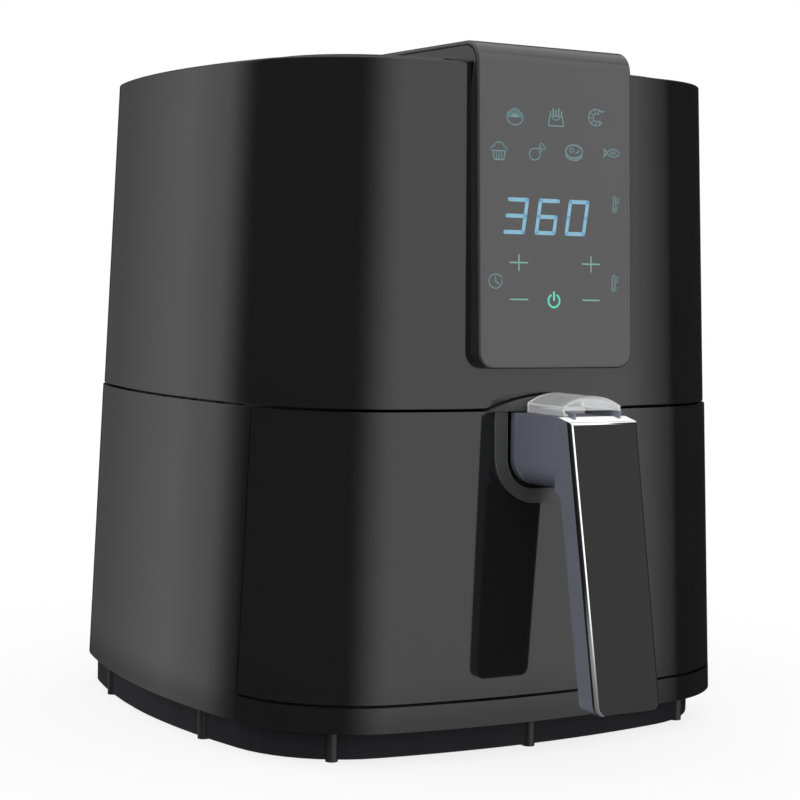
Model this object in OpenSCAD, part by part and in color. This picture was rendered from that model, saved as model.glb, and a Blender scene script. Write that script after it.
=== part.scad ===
/* [Body] */
// Width of the body at the floor
body_w = 273.5; // [262:0.5:300]
// Depth of the body at the floor, without the handle
body_d = 281.4; // [274:0.2:310]
// Height of the rim above the floor
rim_h = 304.7; // [296:0.1:330]
// Inward lean of the walls in degrees
draft = 2.12; // [1:0.01:3]
// How far the left and right walls bow outwards
side_bow = 25.4; // [20:0.2:30]
// How far the front and rear walls bow outwards
front_bow = 20.7; // [15:0.1:26]
// Radius of the vertical corners
corner_r = 61.6; // [54:0.2:70]
// Thickness of the plastic walls
wall = 2.6; // [2:0.1:3.2]
// Height of the seam between the lower and upper housings
seam_h = 153.7; // [151:0.1:160]
// Width of the seam
seam_gap = 0.9; // [0.5:0.1:1.5]
// Height of the bottom edge of the walls
skirt_h = 15; // [12:0.5:17]
// How far the plinth stands back from the walls
plinth_inset = 5; // [4:0.5:10]
// How much further back the plinth stands at the front
plinth_toe = 10; // [0:0.5:14]
// Height of the plinth's lower edge
plinth_lift = 1; // [0.8:0.1:4]
// Width of one foot
foot_w = 5.5; // [4:0.5:8]
// How far a foot stands out of the plinth
foot_out = 1.5; // [0.5:0.1:2]

/* [Drawer] */
// Height of the drawer front's bottom edge
drawer_z = 27; // [26:0.5:30]
// Distance from the front of the body back to the drawer front's edge
drawer_side_l = 57.7; // [54:0.1:60]
// Clearance between the drawer front and the housing
drawer_gap = 0.8; // [0.5:0.1:1.2]
// How far the drawer slides out
drawer_travel = 165; // [120:5:200]
// Distance from the side of the body to the pan's rim
pan_side_gap = 33.25; // [32:0.25:38]
// Distance from the front of the body to the pan's front wall
pan_front_gap = 22.7; // [21.5:0.1:26]
// Distance from the rear of the body to the pan's rear wall
pan_rear_gap = 36.7; // [35:0.1:44]
// Radius of the pan's corners
pan_r = 46; // [40:1:50]
// Height of the pan's bottom
pan_z = 33; // [32.5:0.5:38]
// How far the pan's rim lies below the seam
pan_drop = 15.7; // [12:0.1:22]
// Sheet thickness of the pan and basket
sheet = 1.2; // [0.8:0.1:1.6]
// Lean of the pan's walls in degrees
pan_draft = 1.7; // [0.5:0.1:3]
// Width of the pan's turned-out rim
rim_lip = 4.6; // [3:0.1:5]
// Gap between the pan wall and the basket wall
basket_gap = 4.5; // [3:0.5:7]
// Height of the basket floor above the pan floor
basket_lift = 7; // [5:0.5:12]
// Diameter of a hole in the basket floor
basket_hole = 6.4; // [4:0.2:8]
// Spacing of the holes in the basket floor
basket_pitch = 15; // [12:0.5:20]

/* [Handle] */
// How far the handle's top face lies below the seam
neck_drop = 1.1; // [0.8:0.1:3.5]
// Half width of the handle at its top
grip_hw = 17.7; // [15:0.1:20]
// Half width of the handle at its foot
grip_foot_hw = 16.7; // [13:0.1:18]
// Distance from the body's front wall to the top of the handle's face
grip_reach = 39.85; // [35:0.05:47]
// Outward lean of the handle in degrees
grip_lean = 10.8; // [6:0.1:13]
// Height of the handle's lower end
grip_z = 28.8; // [24:0.2:50]
// Thickness of the handle without its face plate
grip_t = 9.5; // [8:0.5:14]
// Thickness of the handle's face plate
face_t = 2.8; // [2:0.1:3.5]
// Height of the handle's neck from its underside to its top
neck_h = 32; // [30:0.1:37]
// Half width of the neck's root where it meets the collar
root_hw = 20.2; // [18.8:0.1:21]
// Gap between the neck's root and the collar at each side
root_gap = 3; // [0.8:0.1:4]
// Half width of the collar round the neck
collar_hw = 29.4; // [28:0.1:32]
// How far the collar reaches below the neck
collar_drop = 8.3; // [6.5:0.1:12]
// How far the collar stands proud
collar_out = 1.4; // [0.6:0.1:2]
// Height of the arch over the neck, above the seam
arch_h = 7.2; // [6.8:0.1:8.5]
// Radius of the arch over the neck
arch_r = 84; // [78:1:92]
// Half width of the arch over the neck
arch_hw = 34; // [32:0.5:36]
// How far the handle's top slopes down in front of the guard
brow_drop = 1.8; // [0.5:0.1:2.4]
// Half width of the clear button guard
guard_hw = 15.2; // [14.8:0.1:16]
// Height of the guard's crown above the handle's top
guard_h = 8.8; // [8.2:0.1:9]
// Length of the guard
guard_l = 27; // [24:0.5:28]
// How far the guard slides
guard_travel = 9; // [6:0.5:9]
// Wall thickness of the guard
guard_t = 1.2; // [0.8:0.1:1.3]
// Width of the release button
button_w = 18; // [14:0.5:20]
// Length of the release button
button_l = 9.5; // [8:0.5:10]
// How far the release button is pressed
button_travel = 3; // [2:0.5:3.5]

/* [Control panel] */
// Width of the control panel
panel_w = 82; // [70:1:90]
// Height of the control panel's lower edge above the seam
panel_up = 18.3; // [16:0.1:30]
// How far the panel stands above the rim
panel_rise = 9.5; // [6:0.5:12]
// How far the panel's lower edge stands out from the body's front wall
panel_out = 5.47; // [4.8:0.01:9]
// Backward lean of the panel in degrees
panel_lean = 2.84; // [2:0.01:4]
// Outer radius of the bend at the panel's top
bend_r = 10; // [6:0.5:14]
// Radius of the panel's lower corners
panel_r = 7.5; // [4:0.5:12]
// Distance from the rear of the body to the band's rear end on the top
band_rear_gap = 68.7; // [50:0.1:90]
// Thickness of the touch lens
lens_t = 2.2; // [1.6:0.1:2.6]

/* [Heater and fan] */
// How far the chamber bowl's radius stays under half the pan's width
bowl_inset = 1.5; // [1:0.1:5]
// Height of the deck that carries the bowl, above the seam
deck_rise = 1.5; // [1.1:0.1:7]
// Height of the chamber bowl
bowl_h = 40.8; // [37:0.1:48]
// Distance from the bowl's wall to the element's outer ring
element_gap = 18; // [14:0.5:24]
// Distance from the bowl's wall to the element's inner ring
element_in_gap = 42; // [38:0.5:45]
// Diameter of the element's tube
element_d = 6.6; // [5.5:0.1:8]
// Height of the element above the deck
element_up = 12.8; // [10.8:0.1:14.8]
// Distance from the bowl's wall to the convection fan
fan_gap = 52; // [50:0.5:62]
// Number of blades on the convection fan
fan_blades = 10; // [6:1:14]
// How far the cooling fan's radius stays under the bowl's
cooler_gap = 54; // [52:0.5:64]
// Number of blades on the cooling fan
cooler_blades = 9; // [6:1:13]
// Diameter of the fan shaft
shaft_d = 8; // [6:0.5:10]
// Running clearance of the shaft in its bearings
bearing_gap = 0.05; // [0.02:0.01:0.09]
// Side of the motor's square core
motor_w = 60; // [50:1:64]
// Height of the motor's core
core_h = 22; // [16:1:26]

/* [Hidden] */
$fn = 64;

// Colours
gloss_black = "#1b1b1d";
satin_black = "#2a2a2c";
handle_grey = "#5c606c";
steel = "#c4c6c8";
dark_steel = "#3a3a3c";
copper = "#b87333";
board_green = "#1f5a34";
clear = "#dfe6ea80";

// Fits
fit = 0.3;         // between pieces that slide past each other
seat = 0.1;        // between pieces that are fastened together
far = 400;         // longer than anything in the body

// Body outline: four bowed walls joined by tangent corner arcs
lean = tan(draft);
function half_w(z) = body_w / 2 - z * lean;
function half_d(z) = body_d / 2 - z * lean;
function bow_radius(chord, bow) = (chord * chord + bow * bow) / (2 * bow);
function side_r(z) = bow_radius(half_d(z), side_bow);
function front_r(z) = bow_radius(half_w(z), front_bow);
function side_c(z) = [half_w(z) - side_r(z), 0];
function front_c(z) = [0, half_d(z) - front_r(z)];
function meet(a, ra, b, rb) =
    let (d = norm(b - a), u = (b - a) / d, k = (ra * ra - rb * rb + d * d) / (2 * d))
    a + k * u + sqrt(ra * ra - k * k) * [-u.y, u.x];
function corner_c(z) = meet(side_c(z), side_r(z) - corner_r, front_c(z), front_r(z) - corner_r);
function heading(v) = atan2(v.y, v.x);
function arc(c, r, a0, a1, n, first = 0) =
    [for (i = [first:n]) let (a = a0 + (a1 - a0) * i / n) c + r * [cos(a), sin(a)]];
function quarter(z, inset) =
    let (t1 = heading(corner_c(z) - side_c(z)), t2 = heading(corner_c(z) - front_c(z)))
    concat(arc(side_c(z), side_r(z) - inset, 0, t1, 5),
        arc(corner_c(z), corner_r - inset, t1, t2, 10, 1),
        arc(front_c(z), front_r(z) - inset, t2, 90, 6, 1));
function full_outline(q) = let (n = len(q) - 1) concat(q,
    [for (i = [n - 1:-1:0]) [-q[i].x, q[i].y]],
    [for (i = [1:n]) [-q[i].x, -q[i].y]],
    [for (i = [n - 1:-1:1]) [q[i].x, -q[i].y]]);
module outline(z, inset = 0) { polygon(full_outline(quarter(z, inset))); }

// A leaning slice of the body, inset from its outer surface
module slice(z0, z1, inset = 0) {
    translate([0, 0, z0])
        linear_extrude(z1 - z0, slices = 1, scale = [(half_w(z1) - inset) / (half_w(z0) - inset),
            (half_d(z1) - inset) / (half_d(z0) - inset)])
            outline(z0, inset);
}
module box(x0, x1, y0, y1, z0, z1) {
    translate([x0, y0, z0]) cube([x1 - x0, y1 - y0, z1 - z0]);
}
// A box that is centred across the body
module mid_box(hw, y0, y1, z0, z1) { box(-hw, hw, y0, y1, z0, z1); }
module rounded_rect(w, d, r) {
    square([w - 2 * r, d], center = true);
    square([w, d - 2 * r], center = true);
    for (x = [-1, 1], y = [-1, 1]) translate([x * (w / 2 - r), y * (d / 2 - r)]) circle(r);
}
module at_quarters(x, y, z = 0) { for (i = [-1, 1], j = [-1, 1]) translate([i * x, j * y, z]) children(); }
// Turns a shape drawn in X and Z so that it runs from y0 to y1
module along_y(y0, y1) { translate([0, y1, 0]) rotate([90, 0, 0]) linear_extrude(y1 - y0) children(); }
// Turns a side view drawn in Y and Z so that it is centred across the body
module across_x(hw) { translate([-hw, 0, 0]) rotate([90, 0, 90]) linear_extrude(2 * hw) children(); }
module rod(r, z0, z1) { translate([0, 0, z0]) cylinder(r = r, h = z1 - z0); }
module tube(r, bore, z0, z1) { difference() { rod(r, z0, z1); rod(bore, z0 - 1, z1 + 1); } }
// A tube swept along a list of points as one closed skin
function unit(v) = v / norm(v);
function heading_at(p, i) = unit(p[min(i + 1, len(p) - 1)] - p[max(i - 1, 0)]);
function flatten_to(n, t) = unit(n - (n * t) * t);
module swept_tube(p, r, sides, first_normal) {
    normals = [for (i = 0, n = flatten_to(first_normal, heading_at(p, 0)); i < len(p);
        i = i + 1, n = i < len(p) ? flatten_to(n, heading_at(p, i)) : n) n];
    skin = [for (i = [0:len(p) - 1], j = [0:sides - 1]) let (a = 360 * j / sides, n = normals[i],
        b = cross(heading_at(p, i), n)) p[i] + r * (cos(a) * n + sin(a) * b)];
    walls = [for (i = [0:len(p) - 2], j = [0:sides - 1]) let (k = (j + 1) % sides)
        [i * sides + j, i * sides + k, (i + 1) * sides + k, (i + 1) * sides + j]];
    ends = [[for (j = [sides - 1:-1:0]) j], [for (j = [0:sides - 1]) (len(p) - 1) * sides + j]];
    polyhedron(skin, concat(walls, ends));
}
module screw(z0, z1, shank_r, head_r, head_h) { rod(shank_r, z0, z1); rod(head_r, z1, z1 + head_h); }

// Places that follow the body's overall sizes
drawer_back = body_d / 2 - drawer_side_l;
pan_w = body_w - 2 * pan_side_gap;
pan_d = body_d - pan_front_gap - pan_rear_gap;
pan_front = body_d / 2 - pan_front_gap;
pan_top = seam_h - pan_drop;
neck_top = seam_h - neck_drop;
neck_z = neck_top - neck_h;
collar_z = neck_z - collar_drop;
grip_y = half_d(neck_top) + grip_reach;
panel_z = seam_h + panel_up;
panel_y = half_d(panel_z) + panel_out;
band_back = body_d / 2 - band_rear_gap;
bowl_r = pan_w / 2 - bowl_inset;
deck_z = seam_h + deck_rise;
bowl_top = deck_z + bowl_h;
element_r = bowl_r - element_gap;
element_in_r = bowl_r - element_in_gap;
element_z = deck_z + element_up;
fan_r = bowl_r - fan_gap;
cooler_r = bowl_r - cooler_gap;

// ---- Plinth and feet ----
floor_t = 2.4;
foot_root = 5;
boss_r = 6;
base_screw_x = body_w / 2 - 58.75;
base_screw_y = body_d / 2 - 56.7;
base_screw_r = 2;
intake_x = 60;
intake_slots = 9;
intake_pitch = 9;
intake_w = 4;
intake_l = 60;
module foot_spots() {
    c = corner_c(0);
    s = side_c(0);
    side_angle = 8.4;
    corner_angle = 60;
    for (j = [0, 1]) mirror([0, j, 0]) translate([0, half_d(0) - plinth_inset - j * plinth_toe, 0])
        rotate(90) children();
    for (i = [0, 1], j = [0, 1]) mirror([i, 0, 0]) mirror([0, j, 0]) translate([0, -j * plinth_toe, 0]) {
        translate(c + (corner_r - plinth_inset) * [cos(corner_angle), sin(corner_angle)])
            rotate(corner_angle) children();
        translate(s + (side_r(0) - plinth_inset) * [cos(side_angle), sin(side_angle)])
            rotate(side_angle) children();
    }
}
module foot_plan(grow = 0) {
    nose_x = foot_out - foot_w / 2;
    translate([-foot_root - grow, -foot_w / 2 - grow])
        square([foot_root + nose_x + grow, foot_w + 2 * grow]);
    translate([nose_x, 0]) circle(foot_w / 2 + grow);
}
module plinth_outline(inset) {
    intersection() {
        outline(0, inset);
        translate([0, plinth_toe]) outline(0, inset);
    }
}
module intake_grid(z0, z1) {
    for (i = [0:intake_slots - 1]) let (y = (i - (intake_slots - 1) / 2) * intake_pitch)
        box(intake_x - intake_l / 2, intake_x + intake_l / 2, y - intake_w / 2, y + intake_w / 2, z0, z1);
}
module base_plate() {
    color(satin_black) difference() {
        translate([0, 0, plinth_lift]) linear_extrude(skirt_h - plinth_lift) plinth_outline(plinth_inset);
        translate([0, 0, plinth_lift - 1]) linear_extrude(skirt_h - floor_t - plinth_lift + 1)
            plinth_outline(plinth_inset + wall);
        translate([0, 0, -1]) linear_extrude(skirt_h + 2) foot_spots() foot_plan(seat);
        for (k = [0, 1]) mirror([k, 0, 0]) intake_grid(plinth_lift, skirt_h + 1);
        at_quarters(base_screw_x, base_screw_y) rod(base_screw_r + seat, plinth_lift, skirt_h + 1);
    }
}
module feet() {
    color(dark_steel) linear_extrude(skirt_h - seat) foot_spots() foot_plan();
}
module base_screws() {
    color(steel) at_quarters(base_screw_x, base_screw_y) mirror([0, 0, 1])
        screw(-skirt_h - floor_t - boss_r, -skirt_h + floor_t + seat, base_screw_r, 2 * base_screw_r, 1.6);
}

// ---- Lower housing and drawer bay ----
liner_t = 1;
liner_gap = 2;
liner_hw = pan_w / 2 + rim_lip + liner_gap;
liner_back = pan_d - pan_front + rim_lip + 3.4;
liner_r = pan_r + 4;
liner_floor = drawer_z - 0.4;
mouth_hw = liner_hw - 0.6;
mouth_top = seam_h - 2.7;
bay_y = -drawer_back + drawer_gap;
bay_t = 3;
liner_front = bay_y + bay_t + seat;
column_r = 4.8;
column_bore = 1.9;
column_x = liner_hw + liner_t + column_r + 1.2;
column_front_y = -40;
column_back_x = body_w / 2 - 36.75;
column_back_y = body_d / 2 - 36.7;
gland_x = -60;
gland_z = 48;
gland_neck_r = 7.4;
gland_bore_r = 3.7;
module column_spots() {
    for (k = [-1, 1]) {
        translate([k * column_x, column_front_y, 0]) children();
        translate([k * column_back_x, column_back_y, 0]) children();
    }
}
module lower_housing() {
    color(gloss_black) {
        difference() {
            slice(skirt_h, seam_h - seam_gap / 2);
            slice(skirt_h + floor_t, seam_h + 1, wall);
            box(-far, far, -far, bay_y, drawer_z - drawer_gap, far);
            for (k = [0, 1]) mirror([k, 0, 0]) intake_grid(skirt_h - 1, skirt_h + floor_t + 1);
            translate([gland_x, 0, gland_z]) rotate([-90, 0, 0]) rod(gland_neck_r + seat, 100, far);
            at_quarters(base_screw_x, base_screw_y)
                rod(base_screw_r + seat, skirt_h - 1, skirt_h + floor_t + 1);
        }
        for (x = [-base_screw_x, base_screw_x]) {
            translate([x, -base_screw_y, 0])
                tube(boss_r, base_screw_r + seat, skirt_h + floor_t, drawer_z - drawer_gap - floor_t - seat);
            translate([x, base_screw_y, 0])
                tube(boss_r, base_screw_r + seat, skirt_h + floor_t, liner_floor - liner_t - seat);
        }
        column_spots() tube(column_r, column_bore + seat, skirt_h + floor_t, deck_z - seat);
    }
}
module bay_frame() {
    switch_hole = plunger_r + fit;
    color(satin_black) difference() {
        union() {
            intersection() {
                slice(drawer_z - drawer_gap - floor_t, seam_h - seam_gap / 2 - seat, wall + seat);
                box(-far, far, bay_y, bay_y + bay_t, 0, far);
            }
            translate([0, 0, drawer_z - drawer_gap - floor_t]) linear_extrude(floor_t) intersection() {
                outline(drawer_z, wall + seat);
                translate([-far, -far]) square([2 * far, far + bay_y + bay_t]);
            }
        }
        mid_box(mouth_hw, bay_y - 1, far, liner_floor, mouth_top);
        translate([switch_x, 0, switch_z]) rotate([90, 0, 0]) rod(switch_hole, 0, far);
    }
}
module liner_plan(inset = 0) {
    difference() {
        translate([0, (liner_back - far) / 2 + liner_t / 2])
            rounded_rect(2 * (liner_hw + liner_t - inset), liner_back + far + liner_t - 2 * inset,
                liner_r + liner_t - inset);
        translate([-far, -2 * far]) square([2 * far, 2 * far + liner_front]);
    }
}
module chamber_liner() {
    color(steel) difference() {
        translate([0, 0, liner_floor - liner_t])
            linear_extrude(deck_z - seat - liner_floor + liner_t) liner_plan();
        translate([0, 0, liner_floor]) linear_extrude(far) liner_plan(liner_t);
        mid_box(liner_hw, liner_front - 1, liner_front + 1, liner_floor, far);
    }
}
rail_h = 6.5;
rail_drop = 0.3;
module drawer_rails() {
    rail_in = pan_w / 2 + 1.1;
    rail_top = pan_top - sheet - rail_drop;
    color(steel) for (k = [0, 1]) mirror([k, 0, 0])
        box(rail_in, liner_hw - seat / 2, liner_front, liner_back - liner_r, rail_top - rail_h, rail_top);
}

// ---- Door switch beside the drawer bay ----
plunger_r = 2;
plunger_l = 12;
switch_w = 7.6;
switch_d = 20;
switch_h = 16;
switch_x = liner_hw + liner_t + 0.6 + switch_w / 2;
switch_z = 100;
switch_y = bay_y + bay_t + seat;
plunger_play = 1.2;
module switch_body() {
    color(satin_black) difference() {
        box(switch_x - switch_w / 2, switch_x + switch_w / 2, switch_y, switch_y + switch_d,
            switch_z - switch_h / 2, switch_z + switch_h / 2);
        translate([switch_x, plunger_tip + plunger_l + plunger_play, switch_z])
            rotate([90, 0, 0]) rod(plunger_r + fit, 0, far);
    }
}
plunger_tip = bay_y - drawer_gap + fit;
module switch_plunger() {
    color("white") translate([switch_x, plunger_tip + plunger_l, switch_z])
        rotate([90, 0, 0]) rod(plunger_r, 0, plunger_l);
}

// ---- Upper housing and top cover ----
ledge_w = 5;
ledge_drop = 3.2;
cover_t = 3;
vent_hw = 50;
vent_z0 = deck_z + 3;
vent_z1 = bowl_top;
vent_bar = 2;
vent_pitch = 5;
window_hw = 34;
window_z0 = panel_z + 14;
window_z1 = rim_h - 18;
arch_pocket = 16;
arch_cz = seam_h + arch_h - arch_r;
module arch_plan(shrink = 0) {
    intersection() {
        translate([0, arch_cz]) circle(arch_r - shrink, $fn = 160);
        translate([-arch_hw + shrink, seam_h - seam_gap]) square([2 * (arch_hw - shrink), 3 * arch_h]);
    }
}
module upper_housing() {
    pocket_back = -half_d(seam_h) + arch_pocket;
    color(gloss_black) difference() {
        union() {
            difference() {
                slice(seam_h + seam_gap / 2, rim_h);
                slice(seam_h - 1, rim_h + 1, wall);
            }
            difference() {
                slice(rim_h - ledge_drop - 2.4, rim_h - ledge_drop, wall - seat);
                slice(rim_h - ledge_drop - 4, rim_h, wall + ledge_w);
            }
            intersection() {
                along_y(-half_d(seam_h) - 1, pocket_back + 1.6) arch_plan(-1.6);
                slice(seam_h + seam_gap / 2, rim_h, wall - seat);
            }
        }
        along_y(-far, pocket_back) arch_plan();
        box(-far, far, -far, far, 0, seam_h + seam_gap / 2);
        mid_box(vent_hw, 0, far, vent_z0, vent_z1);
        mid_box(window_hw, -far, 0, window_z0, window_z1);
    }
}
crown_h = 2.5;
crown_inset = 16;
cover_slots = 8;
cover_slot_w = 3;
cover_slot_l = 34;
cover_slot_pitch = 8;
band_hw = panel_w / 2;
module top_cover() {
    color(gloss_black) difference() {
        union() {
            translate([0, 0, rim_h - cover_t]) linear_extrude(cover_t) outline(rim_h, wall + fit);
            translate([0, 0, rim_h - 1]) linear_extrude(1 + crown_h * 0.6) outline(rim_h, crown_inset);
            translate([0, 0, rim_h]) linear_extrude(crown_h) outline(rim_h, crown_inset + 1.2);
        }
        mid_box(band_hw + fit, -far, band_back + fit, rim_h, far);
        for (k = [0, 1], i = [0:cover_slots - 1]) mirror([k, 0, 0])
            box(band_hw + 10, band_hw + 10 + cover_slot_l, 20 + i * cover_slot_pitch,
                20 + i * cover_slot_pitch + cover_slot_w, rim_h - cover_t - 1, far);
    }
}
module rear_vent() {
    color(satin_black) intersection() {
        difference() {
            slice(seam_h, rim_h, 0.4);
            slice(seam_h - 1, rim_h + 1, wall + 1);
        }
        difference() {
            mid_box(vent_hw - seat, 0, far, vent_z0 + seat, vent_z1 - seat);
            for (i = [1:floor((vent_z1 - vent_z0) / vent_pitch) - 1])
                mid_box(vent_hw - 3, 0, far, vent_z0 + i * vent_pitch - vent_pitch + vent_bar + 1,
                    vent_z0 + i * vent_pitch + 1);
        }
    }
}

// ---- Control panel ----
band_top = rim_h + panel_rise;
function panel_face(z) = -panel_y + (z - panel_z) * tan(panel_lean);
bend_z = band_top - bend_r;
bend_c = [panel_face(bend_z) + bend_r / cos(panel_lean), bend_z];
function band_line(depth) = concat([[panel_face(panel_z) + depth / cos(panel_lean), panel_z]],
    arc(bend_c, bend_r - depth, 180 - panel_lean, 90, 12), [[band_back, band_top - depth]]);
function backwards(list) = [for (i = [len(list) - 1:-1:0]) list[i]];
module band_trim() {
    intersection() {
        children();
        along_y(-far, far) {
            translate([-band_hw, panel_z + panel_r]) square([2 * band_hw, far]);
            translate([-band_hw + panel_r, panel_z]) square([2 * (band_hw - panel_r), 2 * panel_r]);
            for (k = [-1, 1]) translate([k * (band_hw - panel_r), panel_z + panel_r]) circle(panel_r);
        }
        linear_extrude(far) {
            translate([-band_hw, -far]) square([2 * band_hw, far + band_back - panel_r]);
            translate([-band_hw + panel_r, -far]) square([2 * (band_hw - panel_r), far + band_back]);
            for (k = [-1, 1]) translate([k * (band_hw - panel_r), band_back - panel_r]) circle(panel_r);
        }
    }
}
module touch_lens() {
    color("#3c3c40") band_trim() across_x(band_hw)
        polygon(concat(band_line(0), backwards(band_line(lens_t))));
}
module control_band() {
    color(satin_black) difference() {
        band_trim() across_x(band_hw) polygon(concat(band_line(lens_t + seat / 2),
            [[band_back, rim_h + seat / 2], [-half_d(rim_h) - seat, rim_h + seat / 2],
            [-half_d(rim_h) + 20, panel_z]]));
        slice(panel_z - 10, rim_h, -seat / 2);
        mid_box(window_hw - fit, -far, 0, window_z0 + fit, window_z1 - fit);
    }
}
// Places a piece in the panel's own leaning frame: X across, Y inwards, Z up the panel
module on_panel() { translate([0, -panel_y, panel_z]) rotate([-panel_lean, 0, 0]) children(); }
display_w = 62;
display_t = 6;
display_z0 = 17;
display_z1 = rim_h - panel_z - 21.7;
digit_hw = 6;
digit_hh = 11;
digit_pitch = 16;
digits_z = 60;
board_t = 1.6;
board_lap = 2;
module display_module() {
    y0 = lens_t + fit;
    color("#111111") on_panel() difference() {
        mid_box(display_w / 2, y0, y0 + display_t, display_z0, display_z1);
        for (i = [-1, 0, 1]) translate([i * digit_pitch, 0, digits_z])
            box(-digit_hw, digit_hw, y0 - 1, y0 + 2, -digit_hh, digit_hh);
    }
}
module control_board() {
    y0 = lens_t + fit + display_t + seat;
    y1 = y0 + board_t;
    chip_hw = 9;
    chip_t = 2.4;
    socket_w = 14;
    socket_t = 5;
    socket_hh = 4;
    color(board_green) on_panel() {
        mid_box(display_w / 2 + board_lap, y0, y1, display_z0 - board_lap, display_z1 + board_lap);
        mid_box(chip_hw, y1, y1 + chip_t, digits_z - chip_hw, digits_z + chip_hw);
        for (z = [display_z0 + 13, display_z1 - 19])
            box(-chip_hw - 1 - socket_w, -chip_hw - 1, y1, y1 + socket_t, z - socket_hh, z + socket_hh);
    }
}
module buzzer() {
    y0 = lens_t + fit + display_t + seat + board_t + seat / 2;
    buzzer_r = 7;
    buzzer_h = 8;
    color("#111111") on_panel() translate([18, y0, display_z1 - 19]) rotate([-90, 0, 0]) difference() {
        rod(buzzer_r, 0, buzzer_h);
        rod(1.2, 5, buzzer_h + 1);
    }
}

// ---- Hot chamber ----
bowl_t = 1;
bowl_in = bowl_r - bowl_t;
shaft_r = shaft_d / 2;
shaft_hole = shaft_r + 2;
element_tr = element_d / 2;
element_a0 = 110;
element_a1 = 410;
duct_hw = 44;
duct_z0 = deck_z + 7;
duct_z1 = bowl_top - 6;
duct_t = 1.2;
probe_a = 200;
probe_r = 2.5;
probe_z = deck_z + 5.8;
deck_notch_y = -half_d(seam_h) + arch_pocket + 3;
module chamber_bowl() {
    color(steel) difference() {
        union() {
            translate([0, 0, deck_z]) linear_extrude(bowl_t) outline(deck_z, wall + 1);
            rotate_extrude($fn = 128) polygon([[0, bowl_top], [bowl_r - 6, bowl_top], [bowl_r, bowl_top - 6],
                [bowl_r, deck_z], [bowl_in, deck_z], [bowl_in, bowl_top - 6 - bowl_t * 0.4],
                [bowl_r - 6 - bowl_t * 0.4, bowl_top - bowl_t], [0, bowl_top - bowl_t]]);
        }
        rod(bowl_in, deck_z - 1, deck_z + bowl_t + 1, $fn = 128);
        rod(shaft_hole, bowl_top - 3, bowl_top + 1);
        mid_box(duct_hw - duct_t, 0, far, duct_z0 + duct_t, duct_z1 - duct_t);
        for (r = [element_r, element_in_r]) rotate(element_a1) translate([r, elbow_r])
            rod(element_tr + 1, bowl_top - 3, bowl_top + 1);
        rotate(probe_a) translate([0, 0, probe_z])
            rotate([0, 90, 0]) rod(probe_r + fit, bowl_r - 22, bowl_r + 8);
        mid_box(arch_hw + 3, -far, deck_notch_y, 0, far);
        column_spots() rod(column_bore + seat, deck_z - 1, deck_z + 2);
        translate([loom_x, loom_y]) rod(wire_r + 1.5, deck_z - 1, deck_z + 2);
    }
}
module deck_screws() {
    color(steel) column_spots() screw(deck_z - 14, deck_z + bowl_t + seat / 2, column_bore, 4, 2.2);
}
terminal_top = bowl_top + 12;
elbow_r = 8;
function polar(r, a, z) = [r * cos(a), r * sin(a), z];
// One ring's end turns up through the bowl's top as a terminal
function terminal(r) = concat([for (b = [15:15:90]) polar(r, element_a1, element_z)
    + elbow_r * [-sin(element_a1) * sin(b), cos(element_a1) * sin(b), 1 - cos(b)]],
    [polar(r, element_a1, terminal_top) + elbow_r * [-sin(element_a1), cos(element_a1), 0]]);
function ring(r) = [for (a = [element_a0:7.5:element_a1]) polar(r, a, element_z)];
function bend(mid_r, bend_radius) = [for (b = [15:15:165])
    polar(mid_r - bend_radius * cos(b), element_a0, element_z)
    - bend_radius * sin(b) * [-sin(element_a0), cos(element_a0), 0]];
module heating_element() {
    path = concat(backwards(terminal(element_in_r)), backwards(ring(element_in_r)),
        bend((element_r + element_in_r) / 2, (element_r - element_in_r) / 2), ring(element_r),
        terminal(element_r));
    color(dark_steel) swept_tube(path, element_tr, 10, [1, 0, 0]);
}
clip_t = 1.2;
clip_angles = [60, 180, 300];
module element_clips() {
    z0 = element_z - element_tr - clip_t - seat;
    color(steel) for (a = clip_angles) rotate(a) {
        box(element_in_r - 6, bowl_in - fit, -4, 4, z0, z0 + clip_t);
        box(bowl_in - fit - clip_t - 1.5, bowl_in - fit - 1.5, -4, 4, z0, z0 + 12);
    }
}
guard_ring_pitch = 18;
guard_rings = [for (i = [3:-1:0]) bowl_r - 20 - i * guard_ring_pitch];
module heater_guard() {
    guard_bar = 2.4;
    guard_plate = 1.5;
    color(steel) translate([0, 0, deck_z + 1.5]) linear_extrude(guard_plate) {
        for (r = guard_rings) difference() { circle(r + guard_bar / 2); circle(r - guard_bar / 2); }
        difference() { circle(bowl_in - seat, $fn = 128); circle(bowl_in - 5, $fn = 128); }
        for (a = [0:60:300]) rotate(a) translate([guard_rings[0], -guard_bar / 2])
            square([bowl_in - 3 - guard_rings[0], guard_bar]);
    }
}
module temperature_probe() {
    probe_in = bowl_r - 14;
    probe_out = bowl_r + 4;
    color(steel) rotate(probe_a) translate([0, 0, probe_z]) rotate([0, 90, 0]) {
        rod(probe_r, probe_in, probe_out);
        rod(probe_r + 2, bowl_r + seat, bowl_r + 2.5);
    }
}
module thermal_fuse() {
    fuse_r = 3;
    fuse_l = 18;
    lead_r = 0.8;
    lead_l = 40;
    color(steel) translate([64, 34, bowl_top + fuse_r + seat]) rotate([90, 0, 0]) {
        rod(fuse_r, -fuse_l / 2, fuse_l / 2);
        rod(lead_r, -lead_l / 2, lead_l / 2);
    }
}
module exhaust_duct() {
    duct_back = half_d(vent_z1) - wall - 1.4;
    color(dark_steel) difference() {
        mid_box(duct_hw, 60, duct_back, duct_z0, duct_z1);
        mid_box(duct_hw - duct_t, 50, far, duct_z0 + duct_t, duct_z1 - duct_t);
        rod(bowl_r + seat, 0, far, $fn = 128);
        difference() {
            mid_box(far, 50, far, 0, far);
            slice(seam_h, rim_h, wall + 1.2);
        }
    }
}

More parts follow.
